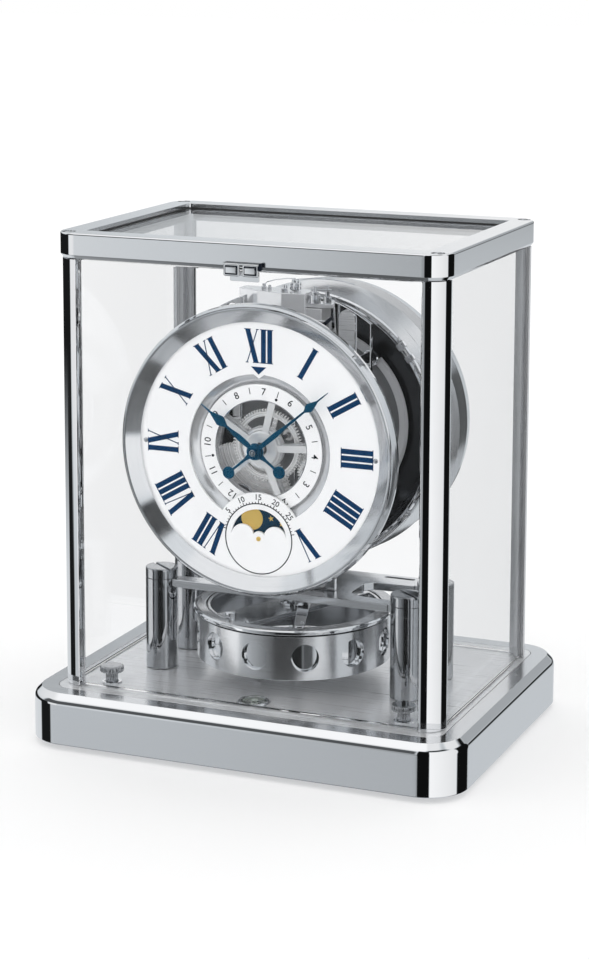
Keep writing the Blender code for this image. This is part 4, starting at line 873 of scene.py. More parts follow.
slot_v = [[(s * 21.7, 172.0), (s * 22.4, 172.0), (s * 22.4, 193.4), (s * 21.7, 193.4)] for s in (-1, 1)]
bores = [circle(x, z, 1.3, 24) for x, z in ((0.0, DIAL_Z), (22.0, 124.0), (14.5, 107.3), (-14.0, 109.7), (5.2, 92.0))]
b.plate([outline, arch(1), arch(-1)] + slot_v + [fil([(-17, 67.5, 1), (-17, 84.0, 2), (17, 84.0, 2), (17, 67.5, 1)], True)] + bores,
        10.5, 13.0, face(0, 0), 0.35, 3, side=1)
for x, z in ((-34.4, 166.0), (34.4, 166.0), (-33.0, 101.0), (33.0, 101.0)):
    b.lathe(fil([(0, 12.9), (3.6, 12.9), (3.6, 14.2, 0.2), (2.8, 14.4), (2.8, 37.6), (3.4, 37.8), (3.4, 38.9, 0.2), (0, 38.9)]), face(x, z), 36, mat=1)
    b.slotted(face(x, z) @ Matrix.Rotation(pi, 4, 'X'), 2.2, -10.5, -9.6, 0.5, 0.4, x, 0.15, mat=1)
for x, z in ((0.0, DIAL_Z), (22.0, 124.0), (14.5, 107.3), (-14.0, 109.7), (5.2, 92.0)):
    b.lathe(fil([(1.3, 12.95), (1.3, 13.3), (2.4, 13.3, 0.15), (2.6, 12.95)], step=20), face(x, z), 32, mat=2, closed=True)
piece("back_plate_v", b, [PLATE_V, CHROME, BRASSY], "case", "back_plate")

b = Build()


def window(a0):
    w = {10: 132, 154: 132, 298: 60}[a0]
    o = arc(0, DIAL_Z, 21.5, radians(a0), radians(a0 + w), 30)
    i = arc(0, DIAL_Z, 9.5, radians(a0 + w - 4), radians(a0 + 4), 20)
    return fil([(x, z, 0.8) if k in (0, 30, 31, 51) else (x, z) for k, (x, z) in enumerate(o + i)], True)


bores = [circle(x, z, 1.3, 24) for x, z in ((22.0, 124.0), (14.5, 107.3), (-14.0, 109.7), (0.0, SUB_Z))]
b.plate([circle(0, DIAL_Z, 60.2, 160)] + [window(a) for a in (10, 154, 298)] + [circle(0, DIAL_Z, 2.6, 32)] + bores,
        39.2, 41.7, face(0, 0), 0.35, 3)
for a in (radians(90), radians(205), radians(335)):
    b.lathe(fil([(0, 41.6), (2.2, 41.6), (2.2, 44.5, 0.1), (0, 44.5)]), face(46 * cos(a), DIAL_Z + 46 * sin(a)), 28)
piece("front_plate_v", b, [PLATE_V], "case", "front_plate")

# polished cone between the dial's opening and the month ring, and the cup behind the hub
b = Build()
b.lathe(fil([(33.6, 44.6), (32.9, 44.7, 0.1), (31.2, 43.9), (29.4, 42.7), (28.4, 41.75), (33.6, 41.75)], True, step=15), face(), 160, closed=True, a0=radians(-62), a1=radians(242))
piece("opening_cone", b, CONE2, "case")
b = Build()
b.lathe(fil([(2.9, 41.75), (8.0, 41.75), (8.7, 42.0, 0.1), (8.75, 42.35, 0.15), (8.2, 42.5, 0.15), (7.3, 42.2), (3.4, 41.95), (2.9, 42.2)], True, step=15),
        face(), 96, closed=True)
for k in range(3):
    a = radians(100 + 120 * k)
    b.slotted(face(5.6 * cos(a), DIAL_Z + 5.6 * sin(a)), 0.9, 41.9, 42.5, 0.3, 0.3, a, 0.1)
piece("hub_cup", b, [PALE], "case")


# ------------------------------------------------------------------ the train, with its teeth
def spokes(r0, r1, n, w, phase=0.0, seg=12):
    out = []
    for k in range(n):
        a0, a1 = phase + 2 * pi * k / n, phase + 2 * pi * (k + 1) / n
        d0, d1 = asin(w / 2 / r0), asin(w / 2 / r1)
        out.append(arc(0, 0, r1, a0 + d1, a1 - d1, seg) + arc(0, 0, r0, a1 - d0, a0 + d0, max(3, seg // 2)))
    return out


b = Build()
F = face()
b.gear(F, 16.0, 14.7, 72, 35.4, 36.6, spokes(4.2, 12.8, 5, 1.8), 0.9)
b.gear(F, 4.0, 2.8, 12, 31.0, 33.4, (), 0.9, mat=1)
b.lathe(fil([(0, 52.2), (1.0, 52.2, 0.2), (1.0, 37.2), (2.2, 37.0), (2.2, 35.0), (1.0, 34.8), (1.0, 11.0), (0, 11.0)]), F, 24, mat=1)
piece("center_wheel_v", b, [BRASSY, STEEL], "minute", "center_wheel_arbor")
b = Build()
F = face(22.0, 124.0)
b.gear(F, 8.0, 6.9, 36, 35.0, 37.0, spokes(2.4, 5.6, 4, 1.2), 0.9, phase=0.05)
b.gear(F, 12.0, 10.9, 60, 25.8, 27.0, spokes(3.2, 9.4, 5, 1.5), 0.9)
b.lathe(fil([(0, 40.6), (0.7, 40.6, 0.1), (0.7, 39.0), (1.0, 38.8), (1.0, 12.6), (0.6, 12.4), (0.6, 11.0), (0, 11.0)]), F, 20, mat=1)
piece("third_wheel_v", b, [BRASSY, STEEL], "third", "third_wheel")
b = Build()
F = face(14.5, 107.3)
b.gear(F, 6.0, 5.0, 30, 25.4, 27.4, (), 0.9, phase=0.1)
b.gear(F, 9.0, 7.2, 15, 17.5, 18.5, spokes(2.4, 6.0, 4, 1.0), 0.9, pointed=True, mat=1)
b.lathe(fil([(0, 40.6), (0.7, 40.6, 0.1), (0.7, 39.0), (1.0, 38.8), (1.0, 12.6), (0.6, 12.4), (0.6, 11.0), (0, 11.0)]), F, 20, mat=1)
piece("escape_wheel_v", b, [BRASSY, STEEL], "escape", "escape_wheel")
b = Build()
F = face(-14.0, 109.7)
b.gear(F, 24.0, 22.8, 110, 31.4, 33.0, (), 0.9)
b.lathe(fil([(0, 31.15), (17.2, 31.15, 0.3), (17.4, 30.8), (18.0, 30.6, 0.3), (18.0, 20.0, 0.4), (0, 20.0)], step=20), F, 96)
b.lathe(fil([(1.0, 32.9), (6.0, 32.9), (6.0, 34.2, 0.4), (1.0, 34.2)], True), F, 48, mat=1, closed=True)
b.slotted(F, 3.2, 34.1, 35.2, 0.7, 0.5, 0.5, 0.2, mat=1)
b.lathe([(0, 40.6), (1.0, 40.6), (1.0, 11.0), (0, 11.0)], F, 20, mat=1)
piece("barrel_v", b, [BRASSY, STEEL], "barrel", "mainspring_barrel")
NODES["pallet_anchor"].data.materials.clear()
NODES["pallet_anchor"].data.materials.append(STEEL)

# ================================================================== dial
b = Build()
b.lathe(fil([(55.0, 46.3), (55.15, 46.9, 0.3), (60.7, 50.8, 0.3), (61.5, 50.9, 0.35), (62.2, 50.3, 0.5), (63.0, 48.8, 0.8), (63.3, 47.2, 0.6), (63.2, 45.2, 0.4),
             (61.4, 44.8, 0.2), (61.2, 42.0, 0.3), (57.6, 42.0), (57.6, 46.3)], True, step=6), face(), 256, closed=True)
bezel = piece("bezel", b, [CHROME, CONE], "case", "dial_bezel", sharp=24)
for p in bezel.data.polygons:
    c = p.center
    if 0.0553 < sqrt(c.x ** 2 + (c.z - DIAL_Z * MM) ** 2) < 0.0605 and c.y < -0.0465:
        p.material_index = 1

d = DIAL_Z - SUB_Z
zc = (d * d + 32.6 ** 2 - 20.2 ** 2) / (2 * d)
xc = sqrt(32.6 ** 2 - zc * zc)
a1 = atan2(-zc, xc)
cusp = asin(2.4 / 32.6)
opening = arc(0, DIAL_Z, 32.6, a1, pi / 2 - cusp, 60) + [(0.0, DIAL_Z + 30.9)] + arc(0, DIAL_Z, 32.6, pi / 2 + cusp, pi - a1, 60)
b1 = atan2(d - zc, -xc)
opening += arc(0, SUB_Z, 20.2, b1, pi - b1, 36)[1:-1]
# the moon's window: round above, a hump on each side below, and a small cap over the pin
hr, hx, hz = 5.3, 7.45, SUB_Z + 0.55
win = arc(0, SUB_Z, 12.8, radians(9), radians(171), 60)
e0 = win[-1]
left = [p for p in arc(-hx, hz, hr, radians(176), radians(4), 24)]
left = [p for p in left if sqrt(p[0] ** 2 + (p[1] - SUB_Z) ** 2) < 12.75 and p[0] < -2.55]
win += left
win += arc(0, SUB_Z + 0.15, 3.1, radians(150), radians(30), 12)
win += [(-x, z) for x, z in reversed(left)]
b = Build()
b.plate([circle(0, DIAL_Z, 57.2, 200), opening, win], 44.8, DIAL_F, face(0, 0), 0.22, 3)
piece("dial_white", b, WHITE, "case", "dial_plate")

# hour figures: strokes given across (u) and outwards (v) from the middle
R0, R1 = 37.5, 52.1
BAR, HAIR, OVER, SER = 2.2, 0.42, 0.42, 0.36


def stroke(b, ang, u0, u1, w, serif=True):
    """A straight stroke from the inner end at u0 to the outer end at u1."""
    def P(u, v):
        return (u * sin(ang) * 0 + v * cos(ang) + u * sin(ang), v * sin(ang) - u * cos(ang))
    v0, v1 = R0, R1
    dx = (u1 - u0) / (v1 - v0)
    k = w / 2 * sqrt(1 + dx * dx)
    quad = [P(u0 - k, v0), P(u0 + k, v0), P(u1 + k, v1), P(u1 - k, v1)]
    b.plate([quad], DIAL_F - 0.02, DIAL_F + 0.13, face(), 0.04, 1)
    if serif:
        for u, v, s in ((u0, v0, 1), (u1, v1, -1)):
            o = k + OVER
            b.plate([[P(u - o, v), P(u + o, v), P(u + o, v + s * SER), P(u - o, v + s * SER)]], DIAL_F - 0.02, DIAL_F + 0.125, face(), 0.03, 1)


def figure(b, text, ang):
    # widths: each bar takes 2.9; X and V take 4.6 between their outer ends
    items, u = [], 0.0
    prev = None
    for ch in text:
        if ch == 'I':
            u += 0 if prev is None else (2.92 if prev == 'I' else (3.0 if prev == 'X' else 2.5))
            items.append(('I', u))
        elif ch == 'V':
            u += 0 if prev is None else 2.95
            items.append(('V', u))
            u += 4.4
        else:
            u += 0 if prev is None else 2.95
            items.append(('X', u))
            u += 4.3
        prev = ch
    end = u + (1.1 if prev == 'I' else 0.3)
    mid = (end - 1.1) / 2
    bars = [x for c, x in items if c == 'I']
    for c, x in items:
        x -= mid
        if c == 'I':
            stroke(b, ang, x, x, BAR, False)
        elif c == 'V':
            stroke(b, ang, x + 2.75, x, BAR, True)
            stroke(b, ang, x + 3.35, x + 4.4, HAIR, True)
        else:
            stroke(b, ang, x + 4.0, x, BAR, True)
            stroke(b, ang, x - 0.2, x + 4.5, HAIR, True)
    if bars:
        lo, hi = bars[0] - mid - 1.1 - OVER, bars[-1] - mid + 1.1 + OVER

        def P(u, v):
            return (v * cos(ang) + u * sin(ang), v * sin(ang) - u * cos(ang))
        for v, s in ((R0, 1), (R1, -1)):
            b.plate([[P(lo, v), P(hi, v), P(hi, v + s * SER), P(lo, v + s * SER)]], DIAL_F - 0.02, DIAL_F + 0.135, face(), 0.03, 1)


b = Build()
for k, txt in enumerate(("XII", "I", "II", "III", "IIII", "V", None, "VII", "VIII", "IX", "X", "XI")):
    if txt:
        figure(b, txt, pi / 2 - 2 * pi * k / 12)
b.plate([[(-3.5, 35.9), (3.5, 35.9), (0.0, 32.6)]], DIAL_F - 0.02, DIAL_F + 0.12, face(), 0.03, 1)
piece("hour_figures", b, INK, "case")

# scale of the moon display: ring line, ticks and plain numbers
b = Build()
b.lathe([(15.14, DIAL_F - 0.02), (15.14, DIAL_F + 0.08), (15.60, DIAL_F + 0.08), (15.60, DIAL_F - 0.02)], face(0, SUB_Z), 160, closed=True)
for k in range(31):
    a = radians(180 - 12 - 156.0 * k / 30)
    r1 = 16.9 if k % 5 == 0 else 16.2
    M = face(0, SUB_Z) @ Matrix.Rotation(a, 4, 'Z')
    b.plate([[(15.4, -0.16), (r1, -0.16), (r1, 0.16), (15.4, 0.16)]], DIAL_F - 0.02, DIAL_F + 0.09, M, 0.02, 1)
for k, txt in ((5, "5"), (10, "10"), (15, "15"), (20, "20"), (25, "25")):
    a = radians(180 - 12 - 156.0 * k / 30)
    b.text(txt, 3.5, face(18.1 * cos(a), SUB_Z + 18.25 * sin(a)) @ Matrix.Rotation(a - pi / 2, 4, 'Z'), DIAL_F - 0.02, DIAL_F + 0.08)
piece("moon_scale", b, BLACK, "case", weighted=False)
b = Build()
for x, z in ((53.1, DIAL_Z - 0.1), (-53.1, DIAL_Z - 0.1)):
    b.lathe(fil([(0, DIAL_F - 0.1), (0.85, DIAL_F - 0.1), (0.85, DIAL_F + 0.35, 0.25), (0, DIAL_F + 0.4)]), face(x, z), 28)
    b.lathe([(0.85, DIAL_F - 0.02), (1.1, DIAL_F - 0.02), (1.05, DIAL_F + 0.08), (0.85, DIAL_F + 0.08)], face(x, z), 28, closed=True)
piece("dial_pins", b, CHROME, "case")
b = Build()
b.lathe(fil([(0, DIAL_F - 0.8), (1.0, DIAL_F - 0.8), (1.0, DIAL_F + 0.6, 0.3), (0, DIAL_F + 0.7)]), face(0, SUB_Z), 36)
piece("moon_pin", b, GILT, "case")

# moon disc: sky, two moons and stars
b = Build()
b.lathe(fil([(0, 44.4), (13.3, 44.4, 0.1), (13.3, 43.95), (1.0, 43.95), (1.0, 40.0), (0, 40.0)]), face(0, SUB_Z), 96)
ma = atan2(8.3, -3.7)
mr = 9.1
for a in (ma, ma + pi):
    b.lathe(fil([(0, 44.38), (5.0, 44.38), (5.0, 44.47, 0.04), (0, 44.47)]), face(mr * cos(a), SUB_Z + mr * sin(a)), 64, mat=1)


def star(cx, cz, r, n=5, ph=0.0):
    return [((r if i % 2 == 0 else r * 0.42) * cos(ph + pi * i / n) + cx, (r if i % 2 == 0 else r * 0.42) * sin(ph + pi * i / n) + cz) for i in range(2 * n)]


for x, z, r, ph in ((5.1, 9.0, 1.35, 1.75), (10.1, 6.9, 1.35, 1.3)):
    for s in (0, pi):
        q = rot([(x, z)], s)[0]
        b.plate([star(q[0], q[1], r, 5, ph + s)], 44.38, 44.46, face(0, SUB_Z), 0.02, 1, mat=1)
piece("moon_sky_disc", b, [SKY, GILT], "moon", "moon_disc")

# month ring with plain numbers, on five bright spokes
b = Build()
SP = radians(4.0)
RM = face()
b.plate([circle(0, 0, 28.0, 160), circle(0, 0, 21.2, 128)], 42.9, 43.6, RM, 0.15, 2)
b.lathe(fil([(20.9, 43.0), (21.3, 43.0), (21.3, 43.72, 0.08), (20.9, 43.72, 0.08)], True), RM, 128, mat=1, closed=True)
for k in range(5):
    M = RM @ Matrix.Rotation(SP + 2 * pi * k / 5, 4, 'Z')
    b.plate([[(7.4, -1.5), (21.1, -1.6), (21.1, 1.6), (7.4, 1.5)]], 42.95, 43.5, M, 0.12, 2, mat=2)
b.lathe(fil([(2.7, 43.0), (7.6, 43.0, 0.1), (7.6, 43.55, 0.15), (6.9, 43.75, 0.1), (3.2, 43.75, 0.1), (2.7, 43.5)], True), RM, 96, mat=2, closed=True)
for k in range(12):
    a = radians(90 + 15 - 3 + 30 * k)
    M = RM @ Matrix.Rotation(a, 4, 'Z')
    b.plate([[(23.9, -0.16), (26.6, -0.16), (26.6, 0.16), (23.9, 0.16)]], 43.58, 43.68, M, 0.02, 1, mat=3)
    c = radians(90 - 3 + 30 * k)
    num = (6 + k) % 12 + 1
    b.text(str(num), 4.3, RM @ Matrix.Translation((24.9 * cos(c), 24.9 * sin(c), 0)) @ Matrix.Rotation(c - pi / 2, 4, 'Z'), 43.58, 43.68, mat=3)
da = radians(90 - 15 - 3)
b.lathe([(0, 43.58), (0.62, 43.58), (0.62, 43.7), (0, 43.7)], RM @ Matrix.Translation((22.9 * cos(da), 22.9 * sin(da), 0)), 20, mat=3)
da = radians(90 - 15 - 3 + 120)
b.lathe([(0, 43.58), (0.62, 43.58), (0.62, 43.7), (0, 43.7)], RM @ Matrix.Translation((22.9 * cos(da), 22.9 * sin(da), 0)), 20, mat=3)
piece("month_dial", b, [WHITE, CHROME_SOFT, PALE, BLACK], "month", "month_ring", weighted=True)


# ------------------------------------------------------------------ hands
def hand(length, loz, loz_w, tail, tail_r, hub_r, stem):
    upper = [(hub_r * 0.85, stem * 0.80), (length * 0.16, stem * 1.05), (length * 0.30, stem * 1.15), (length * 0.44, stem * 0.62),
             (loz - loz_w * 1.7, stem * 0.46), (loz - loz_w * 0.55, loz_w * 0.88), (loz - loz_w * 0.05, loz_w),
             (loz + loz_w * 0.75, loz_w * 0.72), (loz + loz_w * 2.2, stem * 0.40)]
    pts = upper + [(length, 0.19), (length, -0.19)] + [(x, -y) for x, y in reversed(upper)]
    hub = arc(0, 0, hub_r, -radians(25), -radians(160), 18)
    lower = [(-hub_r * 1.6, -0.62), (-tail * 0.72, -0.52)]
    k = 0.52 / tail_r
    disc = arc(-tail, 0, tail_r, -k, -2 * pi + k, 40)
    return pts + hub + lower + disc + [(x, -y) for x, y in reversed(lower)] + arc(0, 0, hub_r, radians(160), radians(25), 18)


HOUR_A = atan2(152.6 - DIAL_Z, -24.7)
MIN_A = atan2(162.4 - DIAL_Z, 33.4)
b = Build()
b.plate([rot(hand(31.2, 20.6, 2.35, 13.6, 2.75, 3.7, 1.15), HOUR_A)], 49.25, 49.95, face(), 0.26, 3)
b.lathe(fil([(1.5, 38.3), (2.2, 38.3), (2.2, 49.3), (1.5, 49.3)], True), face(), 40, mat=1, closed=True)
b.lathe(fil([(1.5, 49.9), (2.9, 49.9), (2.9, 50.35, 0.2), (1.5, 50.35)], True), face(), 48, closed=True)
b.gear(face(), 8.5, 7.6, 48, 37.9, 38.9, spokes(3.0, 6.4, 4, 1.2), 1.6, mat=2)
piece("hour_hand_v", b, [BLUED, STEEL, BRASSY], "hour", "hour_hand", sharp=25)
b = Build()
b.plate([rot(hand(43.9, 33.4, 1.95, 15.2, 2.7, 3.3, 1.0), MIN_A)], 50.85, 51.55, face(), 0.26, 3)
b.lathe(fil([(0, 51.5), (2.9, 51.5), (2.9, 52.0, 0.2), (2.35, 52.05, 0.05), (2.2, 51.85), (1.75, 51.85), (1.6, 52.6, 0.2), (0.9, 52.8, 0.15), (0, 52.7)], step=15), face(), 48)
piece("minute_hand_v", b, [BLUED], "minute", "minute_hand", sharp=25)
b = Build()
b.lathe(fil([(0, 52.6), (0.7, 52.6), (0.7, 52.95, 0.1), (0, 53.0)]), face(), 24)
b.lathe(fil([(1.0, 52.7), (1.0, 52.98, 0.05), (1.4, 52.95, 0.05), (1.4, 52.6)], True), face(), 48, closed=True)
piece("hand_pin", b, STEEL, "minute")

# ================================================================== bellows housing
b = Build()
hp = fil([(0, 24.4), (38.4, 24.0), (38.4, 22.4, 0.2), (41.6, 22.0, 0.2), (42.6, 22.6, 0.2), (43.1, 24.4, 0.2), (55.4, 20.4, 1.0), (57.4, 8.0, 0.4), (58.0, 7.2, 0.3),
          (58.9, 7.6, 0.2), (59.2, 7.0, 0.2), (60.4, 6.5, 0.4), (61.2, 7.2, 0.6), (62.0, 16.6, 0.1), (61.75, 17.0), (61.9, 17.4, 0.1), (62.8, 28.0, 0.2),
          (62.5, 28.5), (62.3, 29.3, 0.2), (62.3, 40.0, 3.0), (61.4, 46.0, 0.3), (60.2, 46.0), (60.2, 26.0), (0, 26.0)], step=8)
b.lathe(hp, face() @ Matrix.Scale(-1, 4, (0, 0, 1)), 224)
HF = face()


def back(x, z):
    """Faces the rear: h grows away from the viewer."""
    return face(x, z) @ Matrix.Diagonal((1, 1, -1, 1))


for x, z in ((-26.0, 165.0), (26.0, 165.0), (-31.0, 104.0), (31.0, 104.0)):
    b.lathe(fil([(0, -10.2), (3.0, -10.2, 0.2), (3.0, 18.0, 0.2), (3.8, 18.4, 0.3), (3.8, 24.6), (0, 24.6)]), back(x, z), 32)
housing = piece("housing", b, [CHROME, SHADE_WALL, RECESS_RING_PAINTED_GREY, BANDA, DRUM_BAND_PAINTED_DARK, CUPGREY], "case", "bellows_housing", sharp=26)
# zones of the one turned housing get their own finishes: the recess wall near-black as painted shade, the floor ring a
# flat grey as a painted reflection, the disc inside it dark grey, the front rim a duller metal, and a band round the
# rear of the side darker as a painted dark reflection
for p in housing.data.polygons:
    c = p.center
    r = sqrt(c.x ** 2 + (c.z - DIAL_Z * MM) ** 2)
    if 0.0075 < c.y < 0.0258 and 0.0428 < r < 0.0578:
        p.material_index = 1
    elif 0.019 < c.y < 0.0255 and r < 0.0429:
        p.material_index = 2 if r > 0.0382 else 5
    elif r > 0.0605 and 0.0075 < c.y < 0.028:
        p.material_index = 3
    elif r > 0.0615 and 0.0294 < c.y < 0.0392:
        p.material_index = 4
b = Build()
b.lathe(fil([(0, 46.3), (61.2, 46.3, 0.3), (60.6, 48.3, 0.8), (44.0, 49.6, 2.0), (42.6, 50.6, 1.0), (18.0, 52.2, 1.0), (16.0, 52.4, 0.3), (0, 52.4)], step=10),
        back(0, DIAL_Z), 192)
for k in range(6):
    a = radians(30 + 60 * k)
    b.slotted(back(53 * cos(a), DIAL_Z + 53 * sin(a)) , 1.9, 48.2, 49.6, 0.5, 0.4, a, 0.2)
piece("housing_cover", b, TURNED, "case", "housing_back_cover", sharp=26)
# small bracket on the rim of the housing, with two screws
b = Build()
ba = radians(38)
for da_, w in ((-0.055, 3.0), (0.055, 3.0)):
    a = ba + da_
    M = back(60.4 * cos(a), DIAL_Z + 60.4 * sin(a)) @ Matrix.Rotation(a, 4, 'Z')
    b.plate([fil([(-2.2, -1.5, 0.4), (1.7, -1.5, 0.4), (1.7, 1.5, 0.4), (-2.2, 1.5, 0.4)], True)], 4.2, 6.5, M, 0.3, 2)
    b.slotted(M @ Matrix.Diagonal((1, 1, -1, 1)), 0.9, -4.3, -3.6, 0.3, 0.3, 0.5, 0.1)
piece("rim_bracket", b, CHROME, "case")
for n, m in (("bellows_capsule", BRASSY), ("bellows_follower", SATIN)):
    NODES[n].data.materials.clear()
    NODES[n].data.materials.append(m)

# ================================================================== floor, light and camera
me = bpy.data.meshes.new("floor")
me.from_pydata([(-6, -6, 0), (6, -6, 0), (6, 6, 0), (-6, 6, 0)], [], [(0, 1, 2, 3)])
fm = bpy.data.materials.new("floor_white")
fm.use_nodes = True
t = fm.node_tree
t.nodes.clear()
obj = nn(t, 'ShaderNodeTexCoord').outputs['Object']
nz = nn(t, 'ShaderNodeTexNoise', {'Vector': obj, 'Scale': 3.0}).outputs[0]
col = mixc(t, nz, (0.955, 0.955, 0.955), (0.96, 0.96, 0.96))
bs = nn(t, 'ShaderNodeBsdfDiffuse', {0: col})
nn(t, 'ShaderNodeOutputMaterial', {0: bs.outputs[0]})
me.materials.append(fm)
floor = bpy.data.objects.new("floor", me)
SC.collection.objects.link(floor)
floor.visible_glossy = False
floor.visible_transmission = False

w = bpy.data.worlds.new("studio")
SC.world = w
w.use_nodes = True
t = w.node_tree
t.nodes.clear()
gen = nn(t, 'ShaderNodeTexCoord').outputs['Generated']
s = nn(t, 'ShaderNodeSeparateXYZ', {0: gen})
X, Y, Z = s.outputs
A = mth(t, 'MULTIPLY', mth(t, 'ARCTAN2', X, mth(t, 'MULTIPLY', Y, -1.0)), 180 / pi)     # 0 ahead of the dial, 90 to its right
E = mth(t, 'MULTIPLY', mth(t, 'ARCSINE', Z), 180 / pi)
A2 = mth(t, 'MODULO', mth(t, 'ADD', A, 360.0), 360.0)


def band(v, lo, hi, soft):
    return mth(t, 'MULTIPLY', span(t, v, lo - soft, lo + soft, 0, 1, True), span(t, v, hi - soft, hi + soft, 1, 0, True))


def lay(cur, value, wa, we):
    """Paints value over the sky where both bands hold."""
    f = mth(t, 'MULTIPLY', wa, we)
    return nn(t, 'ShaderNodeMix', {0: f, 2: cur, 3: value}, data_type='FLOAT').outputs[0]


val = span(t, E, -60, 60, 0.62, 0.95, True)
# ahead of the dial: a grey card low down, a dark gap above it, then the big white box overhead
lowc = span(t, A, -27, -20, 0.60, 0.52)
highc = span(t, A, -24.6, -18.6, 0.77, 0.38)
card = nn(t, 'ShaderNodeMix', {0: span(t, E, -20, -9, 0, 1, True), 2: lowc, 3: highc}, data_type='FLOAT').outputs[0]
val = lay(val, 0.12, band(A, -75, -8, 5), band(E, -90, 2, 3))
val = lay(val, card, band(A, -52, -5, 2), band(E, -29, 3, 2))
val = lay(val, 0.10, band(A, -75, -10, 6), band(E, 4, 40, 4))
val = lay(val, 1.15, band(A, -120, 20, 8), band(E, 52, 95, 5))
# right of the camera: dark gobo, big white softbox, dark gobo
val = lay(val, 0.006, band(A, -6, 26, 1.6), band(E, -60, 48, 4))
val = lay(val, span(t, A, 26, 104, 1.12, 0.92), band(A, 26, 104, 1.6), band(E, -45, 38, 6))
val = lay(val, 0.006, band(A, 104, 150, 2.2), band(E, -60, 36, 4))
# right side wall and behind
val = lay(val, span(t, E, -22, -4, 0.68, 0.62), band(A2, 150, 176, 2), band(E, -70, -6, 3))
val = lay(val, 0.02, band(A2, 150, 190, 4), band(E, -6, 6, 3))
val = lay(val, 0.45, band(A2, 150, 190, 4), band(E, 8, 28, 4))
val = lay(val, mth(t, 'MULTIPLY', span(t, E, 10, 16, 0.98, 0.66), span(t, A2, 198, 207, 1.0, 0.70)), band(A2, 190, 222, 5), band(E, 4, 40, 4))
# left: pale wall with a dark panel
val = lay(val, 0.80, band(A2, 205, 272, 4), band(E, -60, -10, 3))
val = lay(val, 0.012, band(A2, 209, 301, 3), band(E, -13, 6, 3))
val = lay(val, 0.012, band(A2, 272, 308, 2.5), band(E, -45, -10, 3))
val = lay(val, 0.95, band(A2, 302, 330, 2.5), band(E, -13, 4, 3))
val = lay(val, 0.02, band(A, 20, 92, 10), band(E, 42, 60, 5))

# what the metal inside the cabinet sees through its panes
vin = span(t, E, -60, 60, 0.42, 0.85, True)
vin = lay(vin, 0.62, band(A, -60, -14, 3), band(E, -4, 22, 2))
vin = lay(vin, 1.0, band(A, -120, 20, 8), band(E, 52, 95, 5))
vin = lay(vin, 0.02, band(A, -14, 20, 2), band(E, -70, 28, 4))
vin = lay(vin, 0.90, band(A, 44, 62, 2), band(E, -12, 30, 3))
vin = lay(vin, 0.55, band(A, 20, 44, 3), band(E, -6, 28, 3))
vin = lay(vin, 0.03, band(A, 34, 56, 2), band(E, -52, -39, 2))
# low all round, as the pillars and the balance's rim see it: pale on the left, dark ahead, pale on the right
low = band(E, -40, -6, 2)
vin = lay(vin, 0.02, band(A2, 180, 262, 3), low)
vin = lay(vin, 0.25, band(A2, 236, 242, 1), low)
vin = lay(vin, 1.2, band(A, -86, -45, 2), low)
vin = lay(vin, span(t, A, -42, -4, 0.55, 0.10), band(A, -45, 2, 3), band(E, -44, -2, 2))
vin = lay(vin, 0.008, band(A, -2, 33, 3), band(E, -44, -2, 2))
vin = lay(vin, 0.08, band(A, 33, 45, 2), low)
vin = lay(vin, span(t, A, 48, 100, 0.86, 0.50), band(A, 49, 103, 2), low)
vin = lay(vin, 0.30, band(A, 59, 66, 0.8), low)
vin = lay(vin, 0.10, band(A, 103, 142, 1.5), low)
vin = lay(vin, 0.46, band(A, 112, 117, 0.8), low)
vin = lay(vin, 0.40, band(A, 127, 132, 0.8), low)
# rear right, as the side of the round housing sees it
vin = lay(vin, 0.26, band(A2, 140, 151, 1), band(E, -30, 14, 3))
vin = lay(vin, 0.004, band(A2, 152, 166, 1), band(E, -22, 6, 2))
vin = lay(vin, 0.70, band(A2, 167, 190, 1.5), band(E, -40, 0, 3))
vin = lay(vin, 0.95, band(A2, 156, 232, 3), band(E, 10, 27, 1.5))
vin = lay(vin, 0.40, band(A2, 140, 215, 5), band(E, 29, 62, 1.5))
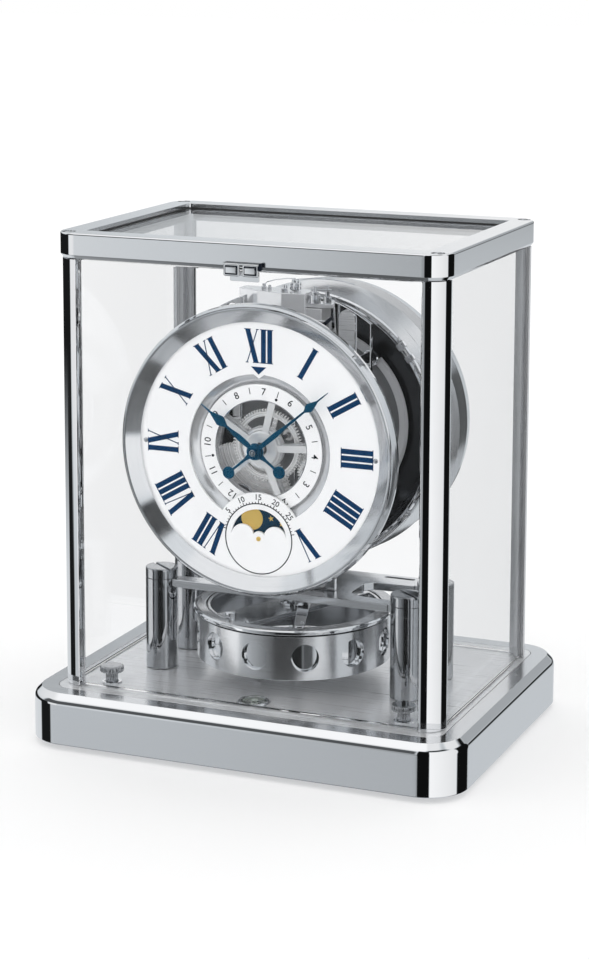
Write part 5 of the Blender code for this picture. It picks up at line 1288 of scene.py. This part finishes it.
# dark flags for the bezel
vin = lay(vin, 0.95, band(A, -50, 14, 3), band(E, 38, 60, 3))
vin = lay(vin, 0.92, band(A, 38, 60, 2), band(E, -6, 26, 2))
vin = lay(vin, 0.95, band(A, 33, 58, 2), band(E, -15, -2, 2))
vin = lay(vin, 0.015, band(A, 28, 46, 1.5), band(E, 17, 35, 1.5))
vin = lay(vin, 0.06, band(A, -76, -62, 1.5), band(E, 32, 44, 1.5))
lp = nn(t, 'ShaderNodeLightPath')
seen = mth(t, 'MULTIPLY', mth(t, 'LESS_THAN', lp.outputs['Glossy Depth'], 0.5), mth(t, 'LESS_THAN', lp.outputs['Diffuse Depth'], 0.5))
seen = mth(t, 'MULTIPLY', seen, mth(t, 'MAXIMUM', lp.outputs['Is Camera Ray'], lp.outputs['Is Transmission Ray']))
dif = mth(t, 'GREATER_THAN', lp.outputs['Diffuse Depth'], 0.5)
lift = mth(t, 'ADD', 1.0, mth(t, 'MULTIPLY', lp.outputs['Is Transmission Ray'], 0.60))
soft_white = mth(t, 'MULTIPLY', span(t, E, -30, 60, 0.98, 1.16), lift)
val = nn(t, 'ShaderNodeMix', {0: lp.outputs['Is Transmission Ray'], 2: val, 3: vin}, data_type='FLOAT').outputs[0]
out = nn(t, 'ShaderNodeMix', {0: dif, 2: val, 3: soft_white}, data_type='FLOAT').outputs[0]
out = nn(t, 'ShaderNodeMix', {0: seen, 2: out, 3: 1.0}, data_type='FLOAT').outputs[0]
cool = mth(t, 'MULTIPLY', span(t, out, 0.7, 1.0, 1.0, 0.0, True), mth(t, 'LESS_THAN', dif, 0.5))
tintc = mixc(t, cool, (1.0, 1.0, 1.0), (0.955, 1.0, 1.035))
bg = nn(t, 'ShaderNodeBackground', {0: tintc, 1: out})
nn(t, 'ShaderNodeOutputWorld', {0: bg.outputs[0]})

w.cycles.sampling_method = 'NONE'
SC.view_settings.view_transform = 'Standard'
SC.view_settings.look = 'None'

cam = bpy.data.cameras.new("camera")
co = bpy.data.objects.new("camera", cam)
SC.collection.objects.link(co)
cam.sensor_fit, cam.sensor_width = 'AUTO', 36.0
cam.lens = 2482.8 / 960.0 * 36.0
cam.shift_y = -0.2
yaw, pitch, roll = radians(22.558), radians(8.906), radians(0.148)
fwd = Vector((-sin(yaw) * cos(pitch), cos(yaw) * cos(pitch), -sin(pitch)))
right = Vector((cos(yaw), sin(yaw), 0.0))
down = fwd.cross(right)
r2 = right * cos(roll) - down * sin(roll)
d2 = right * sin(roll) + down * cos(roll)
co.matrix_world = Matrix(((r2.x, -d2.x, -fwd.x, 0.4095), (r2.y, -d2.y, -fwd.y, -0.9932), (r2.z, -d2.z, -fwd.z, 0.3656), (0, 0, 0, 1)))
cam.clip_start, cam.clip_end = 0.05, 50.0
SC.camera = co
